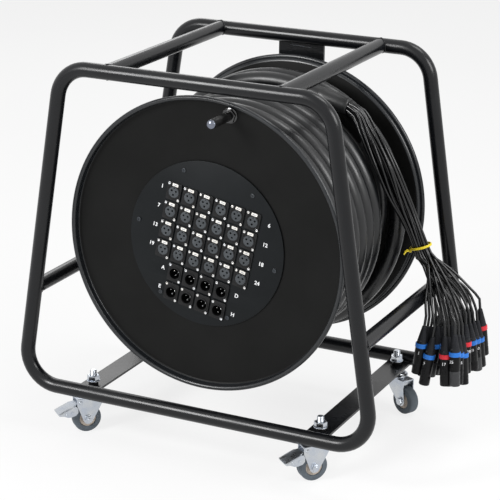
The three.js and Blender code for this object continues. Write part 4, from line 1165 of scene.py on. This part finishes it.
class CableDrumFlanges(bpy.types.Operator):
    """Presses both flanges with their rolled beads, and the barrel between them"""
    bl_idname = "cable_drum.flanges"
    bl_label = "Flanges"

    def execute(self, context):
        size = context.scene.cable_drum_drum
        bead = size.bead / 2 / mm
        self.flange("front", PANEL_OPENING, FRONT_FACE_Y, -1, FRONT_BEAD_Y, bead)
        self.flange("rear", HUB_OPENING, REAR_FACE_Y, 1, REAR_BEAD_Y, bead)

        outside = size.barrel_radius / mm
        inside = outside - SHEET
        front, rear = FRONT_FACE_Y + SHEET + BARREL_GAP, REAR_FACE_Y - SHEET - BARREL_GAP
        web = WEB_PLACE + SHEET
        barrel = turned([(outside, front), (outside, rear), (inside, rear), (inside, web), (WEB_BORE, web),
                         (WEB_BORE, WEB_PLACE), (inside, WEB_PLACE), (inside, front)], 96)
        settle(barrel, "barrel", "fine_black_sheet", 50)
        hung(barrel, "drum", "sheet_black", "drum_barrel")

        bolts = []
        for k in range(TIE_BOLTS):
            angle = math.radians(30 + 360 / TIE_BOLTS * k)
            place = at(TIE_BOLT_CIRCLE * math.cos(angle), REAR_FACE_Y, TIE_BOLT_CIRCLE * math.sin(angle))
            turn = Matrix.Rotation(-math.pi / 2, 4, "X") @ Matrix.Rotation(0.3 * k, 4, "Z")
            bolts.append(placed(self.bolt(), Matrix.Translation(place) @ turn))
        hung(settle(joined(bolts), "rear_flange_bolts", "bright_zinc"), "drum", "zinc")
        return {"FINISHED"}

    def flange(self, name, opening, face, outward, bead_y, bead):
        """A flat sheet with a dished rim and a rolled bead; outward is -1 in front and 1 behind."""
        middle = FLANGE_RADIUS / mm - bead
        fold = middle - bead - RIM_FOLD
        rim = [(opening, face), (fold, face)]
        for angle in (22, 45, 68, 90):
            bent = math.radians(angle)
            rim.append((fold + RIM_FOLD * math.sin(bent), face + outward * RIM_FOLD * (1 - math.cos(bent))))
        roll = arc((middle, bead_y), bead, 180, 180 - outward * 300, 24)
        back = face - outward * SHEET
        foot = [(middle - bead + SHEET, back + outward * 4.5),
                (middle - bead + SHEET - 1.4, back + outward * 1.2), (middle - bead - 3.0, back)]
        sheet = turned(rim + roll + foot + [(opening, back)], 144)
        settle(sheet, name + "_flange_sheet", "fine_black_sheet", 50)
        # The bead's band takes a paler, bluer coat than the sheet: painted reflection round the rim
        inner_edge = FLANGE_RADIUS - 2.4 * bead * mm
        paint_where(sheet, "rolled_bead", lambda spot: (
            math.hypot(spot.x - CENTRE.x, spot.z - CENTRE.z) > inner_edge))
        hung(sheet, "drum", "sheet_black", name + "_flange")

    def bolt(self):
        """A hexagon bolt head on its washer, standing on z = 0."""
        washer = flat_plate([round_outline(8.5, steps=32)], 1.4, 0.3)
        head = flat_plate([round_outline(6.6, steps=6)], 5.0, 0.5)
        return joined([washer, move(head, z=1.4)])


class CableDrumPanel(bpy.types.Operator):
    """Fits the connector panel with its sockets, screws and printed figures"""
    bl_idname = "cable_drum.panel"
    bl_label = "Connector panel"

    def execute(self, context):
        size = context.scene.cable_drum_panel
        turn = size.turn
        females = self.rows(size, FEMALE_ROWS, FEMALE_COLUMNS, size.top_row)
        males = self.rows(size, MALE_ROWS, MALE_COLUMNS, size.top_row - FEMALE_ROWS * size.down)
        contacts = ring_places(CONTACT_CIRCLE, CONTACT_ANGLES, SOCKET_DROP)

        holes = [round_outline(MALE_OPENING, x, y + SOCKET_DROP, 28) for x, y in males]
        disc = flat_plate([round_outline(PANEL_RADIUS, steps=160)] + holes, PANEL_THICKNESS, 0.5)
        self.fit(disc, turn, "panel_disc", "satin_black_panel", "connector_panel")

        shells = self.copies(self.shell(FEMALE_OPENING), females)
        self.fit(shells, turn, "female_shells", "socket_black")
        insert = move(self.insert(contacts), z=2.9)
        self.fit(self.copies(insert, females), turn, "female_inserts", "socket_insert")
        # A near-black disc behind each insert, seen only through its contact holes: painted shade in the
        # holes
        depth = move(flat_plate([round_outline(INSERT_RADIUS, 0, SOCKET_DROP, 24)], 0.5, 0.05), z=2.6)
        self.fit(self.copies(depth, females), turn, "female_hole_painted_shade", "deep_black")

        x, y = PUSH_TAB_PLACE
        tab = move(flat_plate([eased_rectangle(10.6, 5.0, 1.3)], 1.3, 0.4), x, y, SOCKET_RISE)
        self.fit(self.copies(tab, females), turn, "push_tabs", "pale_tab")
        mark = move(flat_plate([eased_rectangle(5.6, 1.3, 0.4, 2)], 0.3, 0.05), x, y, SOCKET_RISE + 1.2)
        self.fit(self.copies(mark, females), turn, "push_tab_marks", "dull_zinc")

        small = move(self.screw(2.2, 0.6, 1.0), z=SOCKET_RISE)
        sockets = females + males
        corners = [(x - 10.2, y + 12.3) for x, y in sockets] + [(x + 10.2, y - 12.6) for x, y in sockets]
        self.fit(self.copies(small, corners), turn, "socket_screws", "bright_screw")

        shells = self.copies(self.shell(MALE_OPENING), males)
        self.fit(shells, turn, "male_shells", "socket_black")
        # Each male socket's well is a real cup; its near-black, unglossy finish is painted shade in its
        # depth
        profile = [(MALE_OPENING, 4.8), (MALE_OPENING, -11.2), (0.0, -11.2), (0.0, -11.0), (9.0, -11.0),
                   (9.0, 4.8)]
        well = move(upright_turned(profile, 32), y=SOCKET_DROP)
        self.fit(self.copies(well, males), turn, "male_wells", "deep_black")
        profile = [(0, 1.0), (0.7, 0.8), (1.15, 0.2), (1.2, -0.4), (1.2, -11.1), (0, -11.1)]
        pins = self.copies(upright_turned(profile, 12, closed=False), contacts)
        self.fit(self.copies(pins, males), turn, "male_pins", "pin_plate")

        big = move(self.screw(3.6, 1.1, 1.5), z=PANEL_THICKNESS)
        places = ring_places(PANEL_SCREW_CIRCLE, [360 / PANEL_SCREWS * k for k in range(PANEL_SCREWS)])
        self.fit(self.copies(big, places), turn, "panel_screws", "dark_screw")
        self.fit(self.figures(size, females, males), turn, "printed_figures", "white_print", smooth=0)
        return {"FINISHED"}

    def fit(self, piece, turn, name, finish, *nodes, smooth=40):
        """Stands a piece, drawn flat round the origin, on the front of the drum with its turn."""
        placed(piece, Matrix.Translation(at(0, PANEL_PLANE_Y, 0)) @ Matrix.Rotation(math.pi / 2, 4, "X")
               @ Matrix.Rotation(turn, 4, "Z"))
        return hung(settle(piece, name, finish, smooth), "drum", "panel_black", *nodes)

    def copies(self, piece, places):
        """The piece copied to each place, as one mesh; each copy's own origin goes to the place."""
        made = []
        for x, y in places:
            twin = duplicate(piece)
            twin.location = (x * mm, y * mm, 0)
            made.append(twin)
        bpy.data.objects.remove(piece)
        bpy.context.view_layer.update()
        whole = joined(made)
        bpy.ops.object.transform_apply(location=True, rotation=True, scale=True)
        return whole

    def rows(self, size, rows, columns, first):
        """The middles of rows of sockets in millimetres, the first row at the given height in metres."""
        return [((column - (columns - 1) / 2) * size.across / mm, (first - row * size.down) / mm)
                for row in range(rows) for column in range(columns)]

    def shell(self, opening):
        """A socket's face plate with the collar round its opening."""
        outlines = [eased_rectangle(SOCKET_WIDTH, SOCKET_HEIGHT, 2.2),
                    round_outline(opening, 0, SOCKET_DROP, 40)]
        plate = move(flat_plate(outlines, 2.6, 0.45), z=PANEL_THICKNESS)
        collar = upright_turned([
            (opening - 0.4, 3.2), (opening - 0.4, 5.9), (opening, 6.3), (opening + 1.3, 6.3),
            (opening + 1.9, 5.7), (opening + 1.9, 4.6), (opening - 0.2, 4.6)], 40)
        return joined([plate, move(collar, y=SOCKET_DROP)])

    def insert(self, contacts):
        """The plug face of a female socket, with its contact holes and its key."""
        outlines = [round_outline(INSERT_RADIUS, 0, SOCKET_DROP, 32)]
        outlines += [round_outline(1.75, x, y, 12) for x, y in contacts]
        outlines.append([(x, y + 6.2) for x, y in eased_rectangle(2.2, 1.4, 0.3, 2)])
        return flat_plate(outlines, 3.0, 0.3)

    def screw(self, radius, slot_width, rise):
        """A round screw head with a cross recess, standing on z = 0."""
        arm, half = radius * 0.62, slot_width / 2
        cross = [(half, half), (half, arm), (-half, arm), (-half, half), (-arm, half), (-arm, -half),
                 (-half, -half), (-half, -arm), (half, -arm), (half, -half), (arm, -half), (arm, half)]
        head = flat_plate([round_outline(radius, steps=24), cross], rise, rise * 0.35)
        floor = flat_plate([round_outline(radius * 0.8, steps=16)], rise * 0.3, 0.02)
        return joined([head, floor])

    def figures(self, size, females, males):
        """Plain figures at the ends of the rows of sockets."""
        words = []
        for row in range(FEMALE_ROWS):
            first, last = row * FEMALE_COLUMNS, (row + 1) * FEMALE_COLUMNS - 1
            words.append((str(first + 1), females[first], FIGURE_LEFT))
            words.append((str(last + 1), females[last], FIGURE_RIGHT))
        for row, (left, right) in enumerate((("A", "D"), ("E", "H"))):
            words.append((left, males[row * MALE_COLUMNS], LETTER_LEFT))
            words.append((right, males[(row + 1) * MALE_COLUMNS - 1], LETTER_RIGHT))
        made = []
        for word, (x, y), (aside, rise) in words:
            figure = flat_word(word, size.figure, 0.00006, 4, swell=0.00022)
            made.append(move(figure, x + aside, y + rise, FIGURE_PLANE))
        return joined(made)


class CableDrumCrank(bpy.types.Operator):
    """Bolts the crank handle to the front flange"""
    bl_idname = "cable_drum.crank"
    bl_label = "Crank"

    def execute(self, context):
        size = context.scene.cable_drum_drum
        washer = upright_turned([(CRANK_BORE, 0.3), (12.6, 0.3), (12.9, 0.7), (12.9, 1.7), (12.4, 2.1),
                                 (CRANK_BORE, 2.1)], 48)
        boss = flat_plate([round_outline(12.4, steps=6), round_outline(CRANK_BORE, steps=24)], 5.6, 0.9)
        boss = joined([washer, move(boss, z=2.1, turn=0.2)])
        hung(self.fit(boss, size, "crank_boss", "polished_black"), "drum", "tube_black", "crank_base_nut")
        back = flat_plate([round_outline(8.66, steps=6), round_outline(CRANK_BORE, steps=24)], 4, 0.4)
        back = self.fit(move(back, z=-6.3), size, "crank_lock_nut", "bright_zinc")
        hung(back, "drum", "zinc", "crank_back_nut")

        rod = [(0, -6.9), (3.6, -6.9), (4.0, -6.4), (4.0, 63.9), (6.3, 63.9), (7.2, 64.5), (7.65, 65.3)]
        rod += [(GRIP_RADIUS * math.cos(math.radians(angle)), 65.9 + 4.9 * math.sin(math.radians(angle)))
                for angle in (0, 12, 25, 38, 51, 64, 77)]
        rod.append((0, 70.8))
        bolt = self.fit(upright_turned(rod, 40, closed=False), size, "crank_bolt_domed", "polished_cap")
        hung(bolt, "drum", "steel", "crank_bolt")

        grip = [(CRANK_BORE, 8.6), (7.0, 8.6), (7.5, 9.2)]
        for ring in range(3):
            start = 12.0 + ring * GROOVE_STEP
            grip += [(GRIP_RADIUS, start), (GRIP_RADIUS, start + 1.2),
                     (GROOVE_RADIUS, start + 1.5), (GROOVE_RADIUS, start + 1.9)]
        grip += [(GRIP_RADIUS, 19.2), (GRIP_RADIUS, 56.0)]
        for ring in range(2):
            start = 56.5 + ring * GROOVE_STEP
            grip += [(GROOVE_RADIUS, start), (GROOVE_RADIUS, start + 0.6),
                     (GRIP_RADIUS, start + 0.9), (GRIP_RADIUS, start + 1.8)]
        grip += [(7.4, 63.0), (6.9, 63.5), (CRANK_BORE, 63.5)]
        sleeve = self.fit(upright_turned(grip, 40), size, "crank_sleeve", "black_grip")
        hung(sleeve, "crank_grip", "grip_black", "crank_grip")
        return {"FINISHED"}

    def fit(self, piece, size, name, finish):
        """Stands a piece at the crank's place, where it reaches forward from the front flange."""
        reach = size.crank_radius / mm
        place = at(reach * math.cos(size.crank_angle), FRONT_FACE_Y, reach * math.sin(size.crank_angle))
        placed(piece, Matrix.Translation(place) @ Matrix.Rotation(math.pi / 2, 4, "X"))
        return settle(piece, name, finish)


class CableDrumHub(bpy.types.Operator):
    """Fits the spindle's nut and washer behind the spine plate and finishes what shows of the hub"""
    bl_idname = "cable_drum.hub"
    bl_label = "Hub"

    def execute(self, context):
        backward = Matrix.Rotation(-math.pi / 2, 4, "X")
        nut = move(flat_plate([round_outline(17.32, steps=6), round_outline(10.0, steps=32)], 12, 0.8), z=3)
        washer = upright_turned([(10.2, 0), (17.6, 0), (18.0, 0.4), (18.0, 2.6), (17.6, 3.0),
                                 (10.2, 3.0)], 48)
        start = Vector((CENTRE.x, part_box("spindle_nut_rear")[0].y, CENTRE.z))
        fitting = placed(joined([nut, washer]), Matrix.Translation(start) @ backward)
        settle(fitting, "spindle_lock_nut", "bright_zinc")
        hung(fitting, "stand", "zinc", "spindle_nut_rear")
        for node in ("spindle", "bearing_front", "bearing_rear"):
            wear(node, "turned_steel")
        wear("spindle_nut_front", "bright_zinc")
        wear("hub_tube", "fine_black_sheet")

        thread = [(0, 0), (9.2, 0), (9.9, -0.8)]
        for ring in range(6):
            thread += [(9.9, -1.0 - ring * 1.5), (9.3, -1.7 - ring * 1.5)]
        thread.append((0, -10.2))
        tip = Vector((CENTRE.x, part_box("spindle")[1].y + 0.0003, CENTRE.z))
        end = placed(upright_turned(thread, 40, closed=False), Matrix.Translation(tip) @ backward)
        settle(end, "spindle_thread", "turned_steel")
        hung(end, "stand", "steel")
        return {"FINISHED"}


class CableDrumCastors(bpy.types.Operator):
    """Stands the drum on four swivel castors, the two in front with a pedal"""
    bl_idname = "cable_drum.castors"
    bl_label = "Castors"

    def execute(self, context):
        size = context.scene.cable_drum_castors
        shapes = {
            "tyre": self.tyre(), "wheel": self.wheel(), "bolt": self.axle_bolt(), "pedal": self.pedal(),
            "top": self.top(), "nut": self.nut(), "spacer": self.spacer(),
            "braked_fork": self.fork(size.braked_trail / mm), "plain_fork": self.fork(size.plain_trail / mm)}
        for corner, heading in CASTOR_HEADINGS.items():
            low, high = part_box("castor_top_" + corner)
            stud = ((low.x + high.x) / 2 / mm, (low.y + high.y) / 2 / mm)
            turn = math.radians(heading)
            braked = corner.startswith("front")
            trail = (size.braked_trail if braked else size.plain_trail) / mm
            axle = (stud[0] + trail * math.cos(turn), stud[1] + trail * math.sin(turn))
            fork = "braked_fork" if braked else "plain_fork"
            parts = [("tyre", "tyre", axle, "tyre_rubber", "wheel_", "tyre_grey", "tyre_"),
                     ("wheel", "wheel", axle, "cream_wheel", "wheel_", "wheel_cream", "wheel_centre_"),
                     ("bolt", "bolt", axle, "bright_zinc", "castor_", "zinc", "axle_bolt_"),
                     (fork, "fork", stud, "bright_zinc", "castor_", "zinc", "castor_fork_")]
            if braked:
                parts.append(("pedal", "pedal", stud, "bright_zinc", "pedal_", "zinc", "brake_pedal_"))
            for shape, word, place, finish, body, slot, node in parts:
                piece = move(duplicate(shapes[shape]), *place, 0, turn)
                settle(piece, "%s_%s_shape" % (word, corner), finish, 35)
                hung(piece, body + corner, slot, node + corner)
            for word, finish, slot, nodes in (("top", "bright_zinc", "zinc", ["castor_top_" + corner]),
                                              ("nut", "bright_zinc", "zinc", ["castor_nut_" + corner]),
                                              ("spacer", "dark_spacer", "tube_black", [])):
                piece = move(duplicate(shapes[word]), *stud, 0, turn / 3)
                settle(piece, "%s_%s_shape" % (word, corner), finish, 35)
                hung(piece, "stand", slot, *nodes)
        for shape in shapes.values():
            bpy.data.objects.remove(shape)
        return {"FINISHED"}

    def across_axle(self, profile, steps):
        """A profile of (radius, place along Y) spun about the axle, which stands over the origin."""
        centre = Vector((0, 0, AXLE_HEIGHT)) * mm
        points = [Vector((radius, y, AXLE_HEIGHT)) * mm for radius, y in profile]
        return spun(points, (0, 1, 0), centre, steps, closed=True)

    def along_y(self, profile, steps):
        """A profile of (radius, place along Y) spun about the Y axis."""
        return spun([Vector((radius, y, 0)) * mm for radius, y in profile], (0, 1, 0), (0, 0, 0), steps)

    def upright_plate(self, outline, thickness, bevel, y):
        """A plate drawn in X and Z, whose nearer face stands at the given Y."""
        stand = Matrix.Translation((0, (y + thickness) * mm, 0)) @ Matrix.Rotation(math.pi / 2, 4, "X")
        return placed(flat_plate([outline], thickness, bevel), stand)

    def domes(self, places, face):
        """Low round rivet heads at (x, z) on both outer faces."""
        made = []
        for out in (1, -1):
            for x, z, radius in places:
                dome = self.along_y([(0, out * 1.2), (radius * 0.55, out * 0.95), (radius * 0.9, out * 0.5),
                                     (radius, -out * 0.2)], 16)
                made.append(move(dome, x, out * face, z))
        return made

    def tyre(self):
        return self.across_axle([
            (14.8, -8.8), (15.3, -9.4), (21.6, -9.5), (23.1, -9.1), (24.1, -8.0), (24.5, -6.4),
            (24.5, 6.4), (24.1, 8.0), (23.1, 9.1), (21.6, 9.5), (15.3, 9.4), (14.8, 8.8)], 72)

    def wheel(self):
        half = [(4.4, -10.0), (7.4, -10.0), (8.0, -9.4), (8.4, -7.6), (9.0, -7.1), (12.6, -7.7),
                (13.6, -8.2), (14.3, -8.0), (14.5, -7.4)]
        return self.across_axle(half + [(radius, -y) for radius, y in reversed(half)], 56)

    def fork(self, trail):
        """Two cheeks that run from the swivel down to a round lug at the axle, and their bridge."""
        def touch(x, z, side):
            away = math.hypot(x - trail, z - AXLE_HEIGHT)
            return math.degrees(math.atan2(z - AXLE_HEIGHT, x - trail) + side * math.acos(LUG_RADIUS / away))

        first, last = touch(-13, 54, 1), touch(34, 51.5, -1)
        if last < first:
            last += 360
        outline = [(-10.5, 63), (-12.4, 62.2), (-13, 60), (-13, 55.2), (-12.4, 53.4)]
        outline += arc((trail, AXLE_HEIGHT), LUG_RADIUS, first, last, 14)
        outline += [(33.4, 50.4), (34, 52.6), (34, 60), (33.4, 62.2), (31.5, 63)]
        cheeks = [self.upright_plate(outline[::-1], CHEEK_THICKNESS, 0.35, y)
                  for y in (CHEEK_FACE - CHEEK_THICKNESS, -CHEEK_FACE)]
        bridge = move(flat_plate([eased_rectangle(46.4, 25.0, 3.0)], 2.5, 0.9), x=10.5, z=60.5)
        return joined(cheeks + [bridge] + self.domes([(-6.5, 57.5, 2.0)], CHEEK_FACE))

    def axle_bolt(self):
        """The bolt through the wheel, with its head on the left and its nut on the right."""
        parts = []
        for out, radius, thickness in ((1, 6.5, 3.6), (-1, 6.9, 4.0)):
            head = move(flat_plate([round_outline(radius, steps=6)], thickness, 0.45), z=0.8)
            washer = flat_plate([round_outline(7.4, steps=28)], 0.8, 0.2)
            end = Matrix.Translation(Vector((0, out * 12.7, AXLE_HEIGHT)) * mm)
            parts.append(placed(joined([head, washer]), end @ Matrix.Rotation(-out * math.pi / 2, 4, "X")))
        profile = [(0, -17.2), (3.2, -17.2), (4.0, -16.6), (4.0, 17.9), (3.2, 18.6), (0, 18.6)]
        return joined(parts + [self.across_axle(profile, 24)])

    def pedal(self):
        """A folded sheet: a flat top that slopes down, deep sides with rivets, and its pin."""
        outline = [(0, -9.7), (9.1, -9.7), (14.5, -13.4), (16.6, -14), (41, -14), (43.4, -12.6), (44, -10.5),
                   (44, 10.5), (43.4, 12.6), (41, 14), (16.6, 14), (14.5, 13.4), (9.1, 9.7), (0, 9.7)]
        side = [(9.5, -1.5), (15.5, 1.1), (42.8, 1.1), (44, -0.8), (42.3, -3.2), (36.5, -6.2), (31.0, -12.0),
                (25, -15.0), (17, -16), (11.5, -13.5), (8.8, -7)]
        parts = [move(flat_plate([outline], 2.5, 0.7), z=-1.25)]
        parts += [self.upright_plate(side[::-1], 1.1, 0.25, y) for y in (12.9, -14.0)]
        parts += self.domes([(20.5, -8.0, 2.3), (32, -5.2, 1.9)], 14.0)
        plate = placed(joined(parts), Matrix.Rotation(math.asin(PEDAL_DROP / PEDAL_LENGTH), 4, "Y"))
        boss = self.along_y([(3.3, -9.7), (3.3, 9.7)], 24)
        pin = self.along_y([(0, -13.6), (2.6, -13.6), (3.2, -12.8), (2.0, -12.7), (2.0, 12.7), (3.2, 12.8),
                            (2.6, 13.6), (0, 13.6)], 20)
        return move(joined([plate, boss, pin]), PEDAL_PIVOT[0], 0, PEDAL_PIVOT[1])

    def top(self):
        """Rivet head, swivel cover with its ribs, hexagon collar and threaded stud."""
        cover = [(0, 57.6), (7.5, 57.6), (7.5, 60.2), (4.7, 60.3), (4.7, 63.3), (20.4, 63.3), (21.0, 63.7),
                 (21.0, 65.6), (20.3, 66.5), (18.6, 67.0), (17.6, 67.8), (16.6, 69.4), (14.6, 70.0),
                 (13.6, 70.8), (12.6, 72.6), (11.6, 73.0), (0, 73.0)]
        collar = move(flat_plate([round_outline(STUD_HEX, steps=6)], 6.2, 0.5), z=73.0)
        thread = [(0, 79.0), (5.9, 79.0), (5.9, 99.0)]
        for ring in range(5):
            thread += [(5.35, 100.4 + 1.6 * ring), (5.95, 101.2 + 1.6 * ring)]
        thread += [(5.4, 109.0), (4.7, 109.5), (0, 109.5)]
        stud = upright_turned(thread, 36, closed=False)
        return joined([upright_turned(cover, 56, closed=False), collar, stud])

    def nut(self):
        """The nut that holds a castor's stud in the base rail, on its washer."""
        nut = flat_plate([round_outline(STUD_HEX, steps=6), round_outline(5.96, steps=28)], 8.8, 1.0)
        washer = upright_turned([(6.3, 90.0), (11.2, 90.0), (11.6, 90.4), (11.6, 90.9), (11.2, 91.3),
                                 (6.3, 91.3)], 36)
        return joined([move(nut, z=91.2), washer])

    def spacer(self):
        """The sleeve on the stud between a castor's collar and the rail."""
        return upright_turned([(6.1, 83.5), (8.3, 83.5), (8.5, 83.8), (8.5, 89.7), (8.3, 90.0),
                               (6.1, 90.0)], 36)


class VIEW3D_PT_cable_drum(bpy.types.Panel):
    """Lists the steps that dress the cable drum"""
    bl_label = "Cable drum"
    bl_idname = "VIEW3D_PT_cable_drum"
    bl_space_type = "VIEW_3D"
    bl_region_type = "UI"
    bl_category = "Cable drum"

    def draw(self, context):
        column = self.layout.column()
        for step in STEPS:
            column.operator(step.bl_idname)
        for name in GROUPS:
            settings = getattr(context.scene, name)
            box = self.layout.box()
            for setting in settings.__annotations__:
                box.prop(settings, setting)


STEPS = [CableDrumStage, CableDrumFreeCable, CableDrumThinCables, CableDrumWinding, CableDrumStand,
         CableDrumFlanges, CableDrumPanel, CableDrumCrank, CableDrumHub, CableDrumCastors]
GROUPS = {
    "cable_drum_stand": CableDrumStandSizes,
    "cable_drum_drum": CableDrumDrumSizes,
    "cable_drum_panel": CableDrumPanelSizes,
    "cable_drum_cable": CableDrumCableSizes,
    "cable_drum_castors": CableDrumCastorSizes,
}


def register():
    for group in GROUPS.values():
        bpy.utils.register_class(group)
    for step in STEPS:
        bpy.utils.register_class(step)
    bpy.utils.register_class(VIEW3D_PT_cable_drum)
    for name, group in GROUPS.items():
        setattr(bpy.types.Scene, name, bpy.props.PointerProperty(type=group))


def unregister():
    for name in GROUPS:
        delattr(bpy.types.Scene, name)
    bpy.utils.unregister_class(VIEW3D_PT_cable_drum)
    for step in reversed(STEPS):
        bpy.utils.unregister_class(step)
    for group in reversed(list(GROUPS.values())):
        bpy.utils.unregister_class(group)


def main():
    register()
    for step in STEPS:
        group, name = step.bl_idname.split(".")
        if getattr(getattr(bpy.ops, group), name)() != {"FINISHED"}:
            raise RuntimeError("the step %s didn't finish" % step.bl_idname)


if __name__ == "__main__":
    main()
